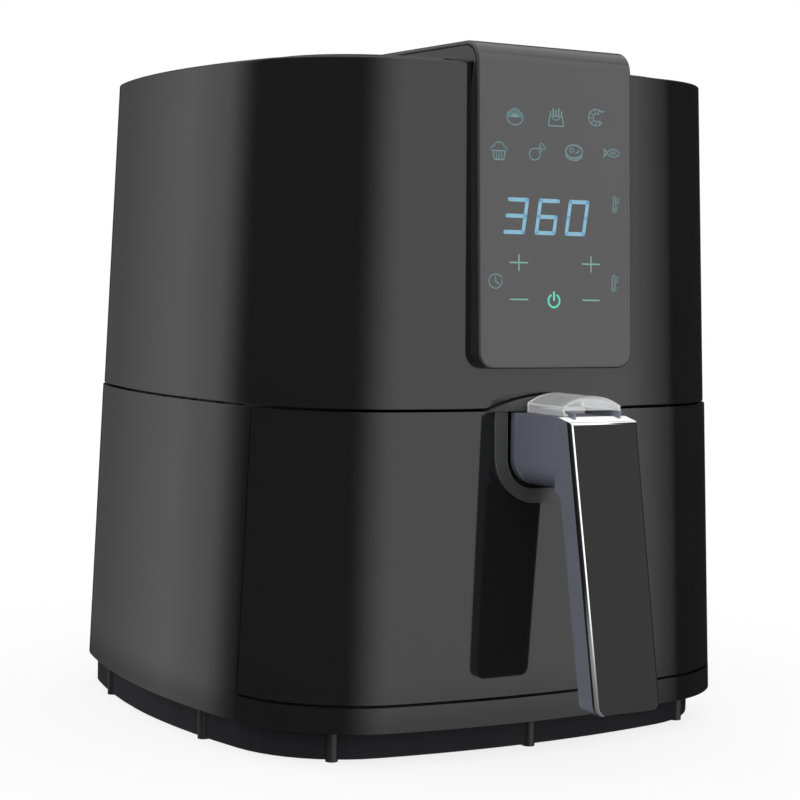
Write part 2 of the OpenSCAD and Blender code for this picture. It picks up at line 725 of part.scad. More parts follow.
// ---- Motor and fans ----
bracket_z = bowl_top + 18;
bracket_t = 2;
post_r = 3.5;
post_ring = 62;
core_z = bracket_z + bracket_t + 8;
frame_t = 3;
frame_w = 24;
frame_top = core_z + core_h + 6;
bearing_r = 7;
bearing_l = 6;
rotor_gap = 0.5;
core_bore = 17;
shaft_top = frame_top + frame_t + 2;
nut_z = element_z + 6.5;
nut_h = 4.5;
hub_z = nut_z + nut_h + seat / 2;
hub_top = bowl_top - 4;
module motor_bracket() {
    color(steel) {
        difference() {
            rod(post_ring + 5, bracket_z, bracket_z + bracket_t);
            rod(bearing_r + 5, bracket_z - 1, bracket_z + bracket_t + 1);
            at_quarters(motor_post, motor_post) rod(1.7, bracket_z - 1, bracket_z + bracket_t + 1);
        }
        for (a = [75, 165, 255, 345]) rotate(a) translate([post_ring, 0])
            rod(post_r, bowl_top + seat / 2, bracket_z);
    }
}
motor_post = motor_w / 2 - 6;
module motor_plate(z) {
    difference() {
        union() {
            for (a = [-45, 45]) translate([0, 0, z]) rotate(a) linear_extrude(frame_t)
                square([2 * sqrt(2) * motor_post + 12, frame_w / 2], center = true);
            rod(bearing_r + 4, z, z + frame_t);
        }
        rod(bearing_r + 0.02, z - 1, z + frame_t + 1);
        at_quarters(motor_post, motor_post) rod(1.7, z - 1, z + frame_t + 1);
    }
}
lower_plate_z = bracket_z + bracket_t + seat / 2;
module motor_frame() {
    color(steel) {
        motor_plate(lower_plate_z);
        motor_plate(frame_top);
        at_quarters(motor_post, motor_post) {
            tube(3.2, 1.7, lower_plate_z + frame_t, core_z);
            tube(3.2, 1.7, core_z + core_h, frame_top);
        }
    }
}
module motor_stator() {
    color(dark_steel) translate([0, 0, core_z + seat / 2]) linear_extrude(core_h - seat) difference() {
        rounded_rect(motor_w, motor_w, 6);
        circle(core_bore);
        for (i = [-1, 1], j = [-1, 1]) translate([i * motor_post, j * motor_post]) circle(1.7);
    }
}
module motor_windings() {
    winding_r = core_bore + 5.5;
    winding_h = 4.2;
    color(copper) for (z = [core_z - winding_h, core_z + core_h])
        tube(winding_r, core_bore + 0.5, z, z + winding_h);
}
module motor_bearings() {
    color("#c9a04a") for (z = [lower_plate_z - 1, frame_top - 2])
        tube(bearing_r, shaft_r + bearing_gap, z, z + bearing_l - 1);
}
module motor_screws() {
    color(steel) at_quarters(motor_post, motor_post) {
        screw(bracket_z - 3, frame_top + frame_t + seat / 2, 1.5, 3, 2);
        cylinder_nut(bracket_z - 3.2);
    }
}
module cylinder_nut(z) { translate([0, 0, z]) cylinder(r = 3.2, h = 3.1, $fn = 6); }
module fan_shaft() {
    color(steel) {
        rod(shaft_r, nut_z - 2, shaft_top);
        rod(core_bore - rotor_gap, core_z + 1, core_z + core_h - 1);
    }
}
module blades(count, r0, r1, z0, z1, t, turn) {
    for (i = [0:count - 1]) rotate(i * 360 / count) translate([r0, 0, z0]) rotate(turn)
        cube([r1 - r0, t, z1 - z0]);
}
module convection_fan() {
    disc_t = 1.2;
    color(steel) difference() {
        union() {
            rod(fan_r, hub_top - disc_t, hub_top, $fn = 96);
            rod(10, hub_z, hub_top);
            blades(fan_blades, 17, fan_r - 3, hub_z + 1, hub_top - disc_t / 2, 1.2, 22);
        }
        rod(shaft_r + 0.02, 0, far);
    }
}
module cooling_fan() {
    fan_z = bowl_top + 3;
    disc_t = 1.5;
    color(satin_black) difference() {
        union() {
            rod(cooler_r, fan_z, fan_z + disc_t, $fn = 96);
            rod(10, fan_z, bracket_z - 3.6);
            blades(cooler_blades, 18, cooler_r - 3, fan_z + disc_t / 2, bracket_z - 5, 1.6, -24);
        }
        rod(shaft_r + 0.02, 0, far);
    }
}
module fan_nut() {
    color(steel) difference() {
        translate([0, 0, nut_z]) cylinder(r = 7.5, h = nut_h, $fn = 6);
        rod(shaft_r + 0.02, 0, far);
    }
}

// ---- Electrics ----
wire_r = 2.4;
loom_x = -66;
loom_y = body_d / 2 - 20.7;
board_x = -(bowl_r + 3);
board_y0 = -32;
board_y1 = 48;
board_z0 = bowl_top + 8;
board_z1 = rim_h - 24.7;
standoff_l = 5;
standoff_r = 2.5;
standoff_inset = 6;
pcb_x = board_x + standoff_l;
module board_bracket() {
    sheet_t = 1.4;
    foot_l = 12;
    z0 = deck_z + bowl_t + seat;
    color(steel) {
        box(board_x - sheet_t, board_x, board_y0, board_y1, z0, board_z1 + 4);
        box(board_x - foot_l, board_x - sheet_t, board_y0, board_y1, z0, z0 + sheet_t);
        for (y = [board_y0 + standoff_inset, board_y1 - standoff_inset],
            z = [board_z0 + standoff_inset, board_z1 - standoff_inset])
            translate([0, y, z]) rotate([0, 90, 0]) rod(standoff_r, board_x, pcb_x - seat / 2);
    }
}
module power_board() {
    color(board_green) box(pcb_x, pcb_x + board_t, board_y0, board_y1, board_z0, board_z1);
}
part_x = pcb_x + board_t + seat / 2;
part_h = 22;
core_y0 = board_y0 + 8;
core_l = 30;
core_up = 24;
lug_l = 6;
lug_inset = 4;
module transformer() {
    z0 = board_z0 + core_up;
    color("#c7a03a") box(part_x, part_x + part_h, core_y0, core_y0 + core_l, z0, z0 + core_l);
    color(dark_steel) box(part_x + 3, part_x + part_h - 3, core_y0 - lug_l, core_y0,
        z0 + lug_inset, z0 + core_l - lug_inset);
}
relay_h = 16;
relay_w = 20;
relay_l = 24;
module relay() {
    y0 = core_y0 + core_l + 4;
    z0 = board_z0 + core_up + 2;
    color("#2b62a8") box(part_x, part_x + relay_h, y0, y0 + relay_w, z0, z0 + relay_l);
}
low_row = 13;
high_row = core_up + core_l + 10;
module capacitors() {
    color("#26262c") for (c = [[38, low_row, 5], [54, high_row, 8], [16, high_row, 6], [68, low_row, 6]])
        translate([0, board_y0 + c[0], board_z0 + c[1]])
            rotate([0, 90, 0]) rod(c[2], part_x, part_x + part_h);
}
pole_pitch = 10;
block_x0 = loom_x - 16;
block_x1 = block_x0 + 3 * pole_pitch;
block_y0 = loom_y - 13;
block_y1 = loom_y - 1 - wire_r;
block_h = 16;
module terminal_block() {
    color("#e8e8e0") difference() {
        box(block_x0, block_x1, block_y0, block_y1, deck_z + bowl_t + seat, deck_z + block_h);
        for (i = [0:2]) translate([block_x0 + (i + 0.5) * pole_pitch, (block_y0 + block_y1) / 2, 0])
            rod(2.6, deck_z + block_h - 6, far);
    }
}
gland_y = half_d(gland_z) - front_r(gland_z) + sqrt(pow(front_r(gland_z), 2) - gland_x * gland_x);
gland_l = 9;
loom_top = deck_z + 20;
module wiring_loom() {
    color("#2c2c2e") swept_tube([[gland_x, gland_y - gland_l - 2, gland_z],
        [gland_x, loom_y - 0.5, gland_z + 0.8], [gland_x, loom_y - 2.8, gland_z + 4],
        [gland_x, loom_y - 2.5, gland_z + 14],
        [loom_x, loom_y, deck_z - 20], [loom_x, loom_y, loom_top - 8], [loom_x, loom_y - 3, loom_top - 2],
        [loom_x, loom_y - 9, loom_top]], wire_r - 0.2, 8, [1, 0, 0]);
    color("#8c2f2f") swept_tube([[block_x0 - 2.6, loom_y - 7, deck_z + block_h / 2],
        [board_x + 1, board_y1 + 26, deck_z + 10], [board_x - 4, board_y1 + 10, board_z0 + 20],
        [pcb_x + 0.8, board_y1 + 2, board_z0 + 30]], 1.6, 8, [0, 0, 1]);
}
// A moulded grommet with a groove that follows the housing's wall
module cord_gland() {
    flange_r = 10.5;
    color(satin_black) difference() {
        translate([gland_x, gland_y, gland_z]) rotate([-90, 0, 0]) difference() {
            union() {
                rod(gland_neck_r, -gland_l, 6);
                rod(flange_r, -7, 4);
            }
            rod(gland_bore_r, -gland_l - 1, 7);
        }
        difference() {
            slice(gland_z - 20, gland_z + 20, -seat);
            slice(gland_z - 21, gland_z + 21, wall + seat);
            translate([gland_x, 0, gland_z]) rotate([-90, 0, 0]) rod(gland_neck_r, 0, far);
        }
    }
}

// ---- Drawer ----
front_z0 = drawer_z + drawer_gap / 2;
front_z1 = seam_h - seam_gap / 2 - 0.2;
front_edge = -drawer_back;
pan_y = -pan_front + pan_d / 2;
pan_slope = tan(pan_draft);
module pan_form(z0, z1, inset) {
    w0 = pan_w - 2 * ((pan_top - z0) * pan_slope + inset);
    w1 = pan_w - 2 * ((pan_top - z1) * pan_slope + inset);
    d0 = w0 + pan_d - pan_w;
    d1 = w1 + pan_d - pan_w;
    translate([0, pan_y, z0]) linear_extrude(z1 - z0, slices = 1, scale = [w1 / w0, d1 / d0])
        rounded_rect(w0, d0, pan_r - inset);
}
module rim_plan(grow) {
    translate([0, pan_y]) rounded_rect(pan_w + 2 * grow, pan_d + 2 * grow, pan_r + grow);
}
module u_plan(hw, bottom, r, top) {
    translate([-hw, bottom + r]) square([2 * hw, top - bottom - r]);
    translate([-hw + r, bottom]) square([2 * (hw - r), r + 1]);
    for (k = [-1, 1]) translate([k * (hw - r), bottom + r]) circle(r);
}
collar_r = 21;
opening_hw = root_hw + root_gap;
opening_z = neck_z - 1.6;
opening_r = 13;
module drawer_front() {
    color(gloss_black) difference() {
        slice(front_z0, front_z1);
        slice(front_z0 + floor_t, seam_h + 1, wall);
        box(-far, far, front_edge, far, 0, far);
        along_y(-far, -100) u_plan(collar_hw + seat, collar_z - seat, collar_r, far);
    }
}
module handle_collar() {
    color(satin_black) intersection() {
        difference() {
            slice(collar_z - 4, front_z1, -collar_out);
            slice(collar_z - 5, front_z1 + 1, wall);
        }
        along_y(-far, -100) difference() {
            u_plan(collar_hw, collar_z, collar_r, front_z1);
            u_plan(opening_hw, opening_z, opening_r, far);
        }
    }
}
inner_top = front_z1 - 1.6;
inner_t = 2.4;
inner_plate_y = -pan_front - rim_lip - fit;
screw_x = pan_w / 2 - pan_r - 11.5;
screw_zs = [58, 104];
screw_hole_r = 1.9;
module at_pan_screws() {
    for (x = [-screw_x, screw_x], z = screw_zs) translate([x, 0, z]) rotate([90, 0, 0]) children();
}
module drawer_inner() {
    pan_clear = rim_lip + 1;
    color(satin_black) difference() {
        intersection() {
            slice(front_z0 + floor_t + seat, inner_top, wall + seat);
            union() {
                box(-far, far, -far, front_edge, inner_top - inner_t, inner_top);
                box(-far, far, front_edge - inner_t, front_edge, 0, far);
                box(-far, far, inner_plate_y - inner_t, inner_plate_y, 0, far);
                at_pan_screws() rod(4.5, pan_front + seat, pan_front + rim_lip + 1);
            }
        }
        translate([0, 0, pan_z - fit]) linear_extrude(far) difference() {
            rim_plan(pan_clear);
            translate([-far, -2 * far]) square([2 * far, 2 * far + inner_plate_y]);
            for (k = [-1, 1]) translate([k * screw_x - 5, inner_plate_y]) square([10, rim_lip + fit]);
        }
        pan_form(pan_z - 1, pan_top + 20, -seat);
        mid_box(root_hw + 2, -far, -100, neck_z - 4, far);
        at_pan_screws() rod(screw_hole_r, pan_front - 18, far);
    }
}
module pan() {
    color(dark_steel) difference() {
        union() {
            pan_form(pan_z, pan_top, 0);
            translate([0, 0, pan_top - sheet]) linear_extrude(sheet) rim_plan(rim_lip);
        }
        pan_form(pan_z + sheet, pan_top, sheet);
        at_pan_screws() rod(screw_hole_r, pan_front - 18, far);
    }
}
module pan_screws() {
    head_h = 1.6;
    shank_l = 11;
    color(steel) for (x = [-screw_x, screw_x], z = screw_zs)
        translate([x, -pan_front + (pan_top - z) * pan_slope + sheet + seat, z]) rotate([90, 0, 0]) {
            rod(screw_hole_r - seat, 0, shank_l);
            rod(3.4, -head_h, 0);
        }
}
basket_z = pan_z + sheet + basket_lift;
basket_inset = sheet + basket_gap;
basket_rim_z = pan_top + 0.3;
wall_slots = 7;
slot_w = 5;
slot_z0 = basket_z + 12;
slot_z1 = basket_z + 52;
side_slot_pitch = 16;
rear_slot_pitch = 14;
module basket() {
    rim_grow = 3;
    hole_margin = 12;
    floor_hw = pan_w / 2 - (pan_top - basket_z) * pan_slope - basket_inset;
    floor_hd = floor_hw + (pan_d - pan_w) / 2;
    nx = floor((floor_hw - 8) / basket_pitch);
    ny = floor((floor_hd - 8) / basket_pitch);
    color(dark_steel) {
        difference() {
            union() {
                pan_form(basket_z, basket_rim_z + sheet, basket_inset);
                translate([0, 0, basket_rim_z]) linear_extrude(sheet) rim_plan(rim_grow);
            }
            pan_form(basket_z + sheet, basket_rim_z + sheet + 1, basket_inset + sheet);
            for (i = [-nx:nx], j = [-ny:ny]) let (x = i * basket_pitch, y = j * basket_pitch,
                past = [max(0, abs(x) - floor_hw + pan_r), max(0, abs(y) - floor_hd + pan_r)])
                if (norm(past) < pan_r - hole_margin) translate([x, pan_y + y, 0])
                    rod(basket_hole / 2, basket_z - 1, basket_z + sheet + 1, $fn = 24);
            for (i = [-wall_slots / 2 + 0.5:wall_slots / 2 - 0.5]) {
                translate([0, pan_y + i * side_slot_pitch, 0])
                    box(-far, far, -slot_w / 2, slot_w / 2, slot_z0, slot_z1);
                translate([i * rear_slot_pitch, 0, 0])
                    box(-slot_w / 2, slot_w / 2, 0, far, slot_z0, slot_z1);
            }
        }
    }
}

// ---- Handle ----
function face_line(z) = -grip_y - (neck_top - z) * tan(grip_lean);
face_depth = face_t / cos(grip_lean);
shell_depth = (face_t + grip_t) / cos(grip_lean);
blend_r = 5;
blend_cz = neck_z - blend_r;
blend_c = [face_line(blend_cz) + shell_depth + blend_r / cos(grip_lean), blend_cz];
neck_in = -half_d(neck_top) + 1;
cavity_hw = 12;
cavity_y0 = face_line(neck_top) + shell_depth;
cavity_z0 = neck_z + 5;
cavity_z1 = neck_top - 3;
button_y1 = -half_d(neck_top) - 5;
button_y0 = button_y1 - button_l;
guard_y1 = -half_d(neck_top) - 4.2;
guard_y0 = guard_y1 - guard_l;
rail_web = 11.4;
rail_out = 13.2;
rail_top = neck_top + 2.3;
rail_y0 = guard_y0 - 4;
rail_y1 = guard_y1 - 0.5;
module grip_front_view() {
    chamfer = 4;
    side = [[grip_hw, neck_top], [grip_foot_hw, grip_z + chamfer], [grip_foot_hw - chamfer * 0.7, grip_z]];
    polygon(concat(side, [for (i = [2:-1:0]) [-side[i].x, side[i].y]]));
}
module brow_cut() {
    face_y = face_line(neck_top);
    front_y = face_y - 2;
    across_x(far) polygon([[guard_y0, neck_top],
        [front_y, neck_top - brow_drop * (guard_y0 - front_y) / (guard_y0 - face_y)],
        [front_y, neck_top + 1], [guard_y0, neck_top + 1]]);
}
module handle_shell() {
    color(handle_grey) {
        difference() {
            union() {
                intersection() {
                    across_x(grip_hw) polygon(concat([[face_line(neck_top) + face_depth, neck_top],
                        [blend_c.x - 2, neck_top], [blend_c.x, neck_z]], arc(blend_c, blend_r, 90, 180 - grip_lean, 8),
                        [[face_line(grip_z) + shell_depth, grip_z], [face_line(grip_z) + face_depth, grip_z]]));
                    along_y(-far, 0) grip_front_view();
                }
                along_y(blend_c.x - 3, neck_in) u_plan(grip_hw, neck_z, 10, neck_top);
                along_y(-half_d(neck_top) - 2.5, neck_in) u_plan(root_hw, neck_z, opening_r - 0.8, neck_top);
            }
            brow_cut();
            mid_box(cavity_hw, cavity_y0 + 3, 0, cavity_z0, cavity_z1);
            mid_box(button_w / 2 + fit, button_y0 - fit, button_y1 + fit, cavity_z0, far);
        }
        for (k = [0, 1]) mirror([k, 0, 0]) {
            box(rail_web, rail_web + 1, rail_y0, rail_y1, neck_top - 1, rail_top - 0.7);
            box(rail_web, rail_out, rail_y0, rail_y1, rail_top - 0.7, rail_top);
        }
    }
}
module handle_face() {
    face_gap = 0.15;
    color("#37373a") difference() {
        intersection() {
            across_x(grip_hw) polygon([[face_line(neck_top), neck_top],
                [face_line(neck_top) + face_depth - face_gap, neck_top],
                [face_line(grip_z) + face_depth - face_gap, grip_z], [face_line(grip_z), grip_z]]);
            along_y(-far, 0) grip_front_view();
        }
        brow_cut();
    }
}
shoulder_out = 1.8;
bracket_hw = 15;
bracket_top = neck_top - 5;
module handle_shoulder() {
    shoulder_back = -half_d(seam_h) + arch_pocket - 2.4;
    color(satin_black) {
        difference() {
            along_y(-half_d(seam_h) - shoulder_out, shoulder_back) arch_plan(0.6);
            box(-far, far, -far, 0, 0, front_z1 + seat);
        }
        mid_box(cavity_hw + 2, -half_d(seam_h) + 5, shoulder_back, bracket_top + seat / 2, front_z1 + 1);
    }
}
handle_screw_x = 12;
bracket_y0 = neck_in + seat;
bracket_y1 = bracket_y0 + 5;
module basket_bracket() {
    hook_z = basket_rim_z + sheet + seat / 2;
    latch_slot = 9;
    color(satin_black) difference() {
        union() {
            mid_box(bracket_hw, bracket_y0, bracket_y1, neck_z + 2, bracket_top);
            mid_box(bracket_hw, bracket_y0, -pan_front + 12, hook_z, bracket_top);
        }
        mid_box(latch_slot, bracket_y0 - 1, bracket_y1 + 1, neck_z + 4, bracket_top - 1.5);
        mid_box(latch_slot, bracket_y0 - 1, latch_y1 + fit, hook_z - 1, bracket_top + 1);
        for (k = [-1, 1]) translate([k * handle_screw_x, 0, neck_z + 8]) rotate([90, 0, 0]) rod(1.7, 0, far);
    }
}
module handle_screws() {
    color(steel) for (k = [-1, 1]) translate([k * handle_screw_x, bracket_y1 + seat / 2, neck_z + 8])
        rotate([90, 0, 0]) {
            rod(1.6, 0, bracket_y1 - bracket_y0);
            rod(2.8, -1.8, 0);
        }
}
flange_z1 = cavity_z1 - fit;
flange_z0 = flange_z1 - 2;
latch_y1 = neck_in + 4.4;
module release_button() {
    button_up = 2.6;
    stem_r = 2.4;
    stem_l = 10;
    color("#c8c8cc") {
        mid_box(button_w / 2, button_y0, button_y1, flange_z1 - 0.5, neck_top + button_up);
        mid_box(button_w / 2 + 1.4, button_y0 - 1.4, button_y1 + 3.4, flange_z0, flange_z1);
        translate([0, (button_y0 + button_y1) / 2, 0]) rod(stem_r, flange_z0 - stem_l, flange_z0 + 0.5);
    }
}
module button_latch() {
    latch_hw = 7.5;
    latch_t = 1.6;
    color(steel) {
        mid_box(latch_hw, button_y1 + 0.2, latch_y1, flange_z0 - latch_t - seat / 2, flange_z0 - seat / 2);
        mid_box(latch_hw, latch_y1 - latch_t, latch_y1, flange_z0 - 16, flange_z0 - latch_t);
    }
}
// A coil spring as one swept tube
spring_r = 3.9;
spring_wire = 0.55;
spring_turns = 6;
spring_z0 = cavity_z0 + seat;
spring_z1 = flange_z0 - seat;
rings_per_turn = 12;
spring_rings = spring_turns * rings_per_turn;
module button_spring() {
    rise = spring_z1 - spring_z0 - 2 * spring_wire;
    path = [for (i = [0:spring_rings]) let (a = i * 360 / rings_per_turn)
        [spring_r * cos(a), spring_r * sin(a), spring_wire + rise * i / spring_rings]];
    color(steel) translate([0, (button_y0 + button_y1) / 2, spring_z0])
        swept_tube(path, spring_wire, 8, [0, 0, 1]);
}
module guard_section(inset, bottom) {
    dome_rise = 4.4;
    dome_r = bow_radius(guard_hw, dome_rise);
    intersection() {
        translate([0, neck_top + guard_h - dome_r]) circle(dome_r - inset, $fn = 96);
        translate([-guard_hw + inset, bottom]) square([2 * (guard_hw - inset), far]);
    }
}
module button_guard() {
    foot_z = neck_top + fit;
    lip_x = rail_web + 1 + fit;
    color(clear) {
        along_y(guard_y0, guard_y1) difference() {
            guard_section(0, foot_z);
            guard_section(guard_t, foot_z + 1);
            translate([-lip_x, foot_z - 1]) square([2 * lip_x, 3]);
        }
        along_y(guard_y0, guard_y0 + guard_t) guard_section(guard_t / 2, rail_top + fit);
    }
}

base_plate();
feet();
base_screws();
lower_housing();
bay_frame();
chamber_liner();
drawer_rails();
upper_housing();
top_cover();
control_band();
touch_lens();
display_module();
control_board();
buzzer();
chamber_bowl();
deck_screws();
heating_element();
element_clips();
heater_guard();
temperature_probe();
thermal_fuse();
exhaust_duct();
rear_vent();
motor_bracket();
motor_stator();
motor_windings();
motor_frame();
motor_bearings();
motor_screws();
board_bracket();
power_board();
transformer();
relay();
capacitors();
terminal_block();
cord_gland();
wiring_loom();
switch_body();
switch_plunger();
fan_shaft();
convection_fan();
cooling_fan();
fan_nut();
drawer_front();
drawer_inner();
pan();
pan_screws();
basket();
basket_bracket();
handle_shell();
handle_face();
handle_shoulder();
handle_collar();
handle_screws();
release_button();
button_latch();
button_spring();
button_guard();
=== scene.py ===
import math

import bmesh
import bpy
from mathutils import Matrix, Vector


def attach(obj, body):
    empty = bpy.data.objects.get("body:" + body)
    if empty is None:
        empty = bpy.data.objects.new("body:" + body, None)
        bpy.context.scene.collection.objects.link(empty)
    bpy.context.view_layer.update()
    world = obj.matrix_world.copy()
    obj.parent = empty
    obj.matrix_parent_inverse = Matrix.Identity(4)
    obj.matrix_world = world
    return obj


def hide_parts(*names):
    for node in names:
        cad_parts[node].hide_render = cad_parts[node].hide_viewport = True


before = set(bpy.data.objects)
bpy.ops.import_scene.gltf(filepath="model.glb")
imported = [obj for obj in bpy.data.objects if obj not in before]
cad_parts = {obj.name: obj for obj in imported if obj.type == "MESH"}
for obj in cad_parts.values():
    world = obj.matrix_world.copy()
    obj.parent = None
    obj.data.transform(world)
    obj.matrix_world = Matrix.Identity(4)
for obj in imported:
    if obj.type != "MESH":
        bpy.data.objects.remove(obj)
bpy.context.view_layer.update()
scene = bpy.context.scene
scene.view_settings.view_transform = "Standard"

# Everything is drawn in millimetres in the frame's own axes, and finishPiece turns it to metres.
metresPerMillimetre = 0.001
sharpAngle = math.radians(38)  # edges turned further than this are corners

body = {
    "width": 273.5,  # at the floor
    "depth": 281.4,  # at the floor, without the handle
    "rimHeight": 304.7,
    "lean": math.radians(2.12),
    "sideBow": 25.4,
    "frontBow": 20.7,
    "cornerRadius": 61.6,
    "wall": 2.6,
    "seamHeight": 153.7,
    "seamGap": 0.9,
    "skirtHeight": 15,
    "sideSteps": 16,  # mesh steps on half a side wall
    "cornerSteps": 26,
    "frontSteps": 22,
}


class Wire:  # a socket that takes part in plain arithmetic
    def __init__(self, tree, socket):
        self.tree = tree
        self.socket = socket

    def maths(self, operation, first, second):
        return addNode(self.tree, "ShaderNodeMath", {"operation": operation}, {0: first, 1: second})

    def __add__(self, other):
        return self.maths("ADD", self, other)

    def __radd__(self, other):
        return self.maths("ADD", other, self)

    def __sub__(self, other):
        return self.maths("SUBTRACT", self, other)

    def __rsub__(self, other):
        return self.maths("SUBTRACT", other, self)

    def __mul__(self, other):
        return self.maths("MULTIPLY", self, other)

    def __rmul__(self, other):
        return self.maths("MULTIPLY", other, self)

    def named(self, name):
        return Wire(self.tree, self.socket.node.outputs[name])


def addNode(tree, kind, settings=None, sockets=None):
    node = tree.nodes.new(kind)
    for name, value in (settings or {}).items():
        if name == "stops":
            ramp = node.color_ramp
            while len(ramp.elements) < len(value):
                ramp.elements.new(0.5)
            for stop, (place, colour) in zip(ramp.elements, value):
                stop.position = place
                stop.color = (*colour, 1)
        else:
            setattr(node, name, value)
    for place, value in (sockets or {}).items():
        if isinstance(value, Wire):
            tree.links.new(value.socket, node.inputs[place])
        else:
            node.inputs[place].default_value = value
    return Wire(tree, next(o for o in node.outputs if o.enabled))


def blendColours(tree, share, first, second):
    return addNode(tree, "ShaderNodeMix", {"data_type": "RGBA"}, {0: share, 6: first, 7: second})


def ramp(tree, value, start, end, low=0.0, high=1.0, kind="LINEAR"):
    settings = {"interpolation_type": kind}
    return addNode(
        tree, "ShaderNodeMapRange", settings, {"Value": value, 1: start, 2: end, 3: low, 4: high}
    )


def ease(tree, value, start, end, low=0.0, high=1.0):  # a soft step from low to high
    return ramp(tree, value, start, end, low, high, "SMOOTHSTEP")


view = {
    "position": (-0.51257, -0.86326, 0.21279),
    "turn": math.radians(-30.8314),  # about the vertical, from +Y
    "tilt": math.radians(3.6345),  # downwards
    "roll": math.radians(1.1659),
    "lens": 90.07,
    "sensor": 36,
}


def makeCamera():
    data = bpy.data.cameras.new("camera")
    data.lens = view["lens"]
    data.sensor_width = view["sensor"]
    camera = bpy.data.objects.new("camera", data)
    scene.collection.objects.link(camera)
    upright = Matrix.Rotation(math.radians(90), 4, "X")
    camera.matrix_world = (
        Matrix.Translation(view["position"])
        @ Matrix.Rotation(view["turn"], 4, "Z")
        @ upright
        @ Matrix.Rotation(-view["tilt"], 4, "X")
        @ Matrix.Rotation(view["roll"], 4, "Z")
    )
    scene.camera = camera


studio = {  # angles in degrees, round the object from its front towards +X
    "frontBox": {"from": -33, "full": 9, "fade": 46, "to": 62, "level": 1.5},
    "leftBox": {"from": -185, "full": -148, "fade": -138, "to": -128.5, "edge": 0.13, "level": 0.74},
    "edgeFade": 5,  # the left box ends over this much, behind the object
    "topBox": {"from": 24, "full": 55, "level": 1.15},
    "frontFoot": {"low": -9.3, "high": -7.3, "dim": 0.63},  # the boxes fade towards the floor
    "leftFoot": {"low": -10.1, "high": -9.1, "dim": 0.63},
    "gap": 0.02,  # what the dark gaps between the boxes send
    "dome": {"horizon": 2.5, "zenith": 0.5},  # the even light that reaches matt surfaces
    "backdrop": 1.0,
}


def seenDirectly(tree):  # rays from the camera, also through clear plastic
    path = addNode(tree, "ShaderNodeLightPath")
    return path.maths("MAXIMUM", path.named("Is Camera Ray"), path.named("Is Transmission Ray"))


def makeStudio():
    world = bpy.data.worlds.new("studio")
    scene.world = world
    world.use_nodes = True
    tree = world.node_tree
    direction = addNode(tree, "ShaderNodeTexCoord").named("Generated")
    parts = addNode(tree, "ShaderNodeSeparateXYZ", None, {0: direction})
    x, y, z = parts.named("X"), parts.named("Y"), parts.named("Z")
    degrees = 180 / math.pi
    around = x.maths("ARCTAN2", x, y * -1) * degrees
    behind = around - x.maths("GREATER_THAN", around, 90) * 360
    height = z.maths("ARCSINE", z, 0) * degrees
    front, left, top = studio["frontBox"], studio["leftBox"], studio["topBox"]
    frontFoot, leftFoot = studio["frontFoot"], studio["leftFoot"]
    frontLight = (
        ease(tree, around, front["from"], front["full"])
        * ease(tree, around, front["fade"], front["to"], 1, 0)
        * ease(tree, height, frontFoot["low"], frontFoot["high"], frontFoot["dim"], 1)
        * front["level"]
    )
    rise = ramp(tree, behind, left["from"], left["full"])
    leftLight = (
        (rise * rise * left["level"] + left["edge"])
        * ease(tree, behind, left["from"] - studio["edgeFade"], left["from"])
        * ease(tree, behind, left["fade"], left["to"], 1, 0)
        * ease(tree, height, leftFoot["low"], leftFoot["high"], leftFoot["dim"], 1)
    )
    topLight = ease(tree, height, top["from"], top["full"]) * top["level"]
    lit = x.maths("MAXIMUM", frontLight + leftLight, topLight) + studio["gap"]
    direct = seenDirectly(tree)
    matt = addNode(tree, "ShaderNodeLightPath").named("Is Diffuse Ray")
    background = tree.nodes["Background"]
    dome = ramp(tree, z, 0, 1, studio["dome"]["horizon"], studio["dome"]["zenith"])
    level = lit * (1 - direct) * (1 - matt) + direct * studio["backdrop"] + dome * matt
    tree.links.new(level.socket, background.inputs["Strength"])
    background.inputs["Color"].default_value = (1, 1, 1, 1)


floor = {"half": 4.0, "colour": (0.19, 0.19, 0.19, 1), "lift": 0.8}


def makeFloor():
    bm = bmesh.new()
    bmesh.ops.create_grid(bm, x_segments=1, y_segments=1, size=floor["half"])
    mesh = bpy.data.meshes.new("floor")
    bm.to_mesh(mesh)
    bm.free()
    sheet = bpy.data.objects.new("floor", mesh)
    scene.collection.objects.link(sheet)
    material = bpy.data.materials.new("paleFloor")
    material.use_nodes = True
    tree = material.node_tree
    shader = tree.nodes["Principled BSDF"]
    shader.inputs["Base Color"].default_value = floor["colour"]
    shader.inputs["Roughness"].default_value = 0.9
    shader.inputs["Specular IOR Level"].default_value = 0
    shader.inputs["Emission Color"].default_value = (1, 1, 1, 1)
    tree.links.new((seenDirectly(tree) * floor["lift"]).socket, shader.inputs["Emission Strength"])
    mesh.materials.append(material)
    sheet.visible_glossy = False


makeCamera()
makeStudio()
makeFloor()
print("camera, studio and floor made")


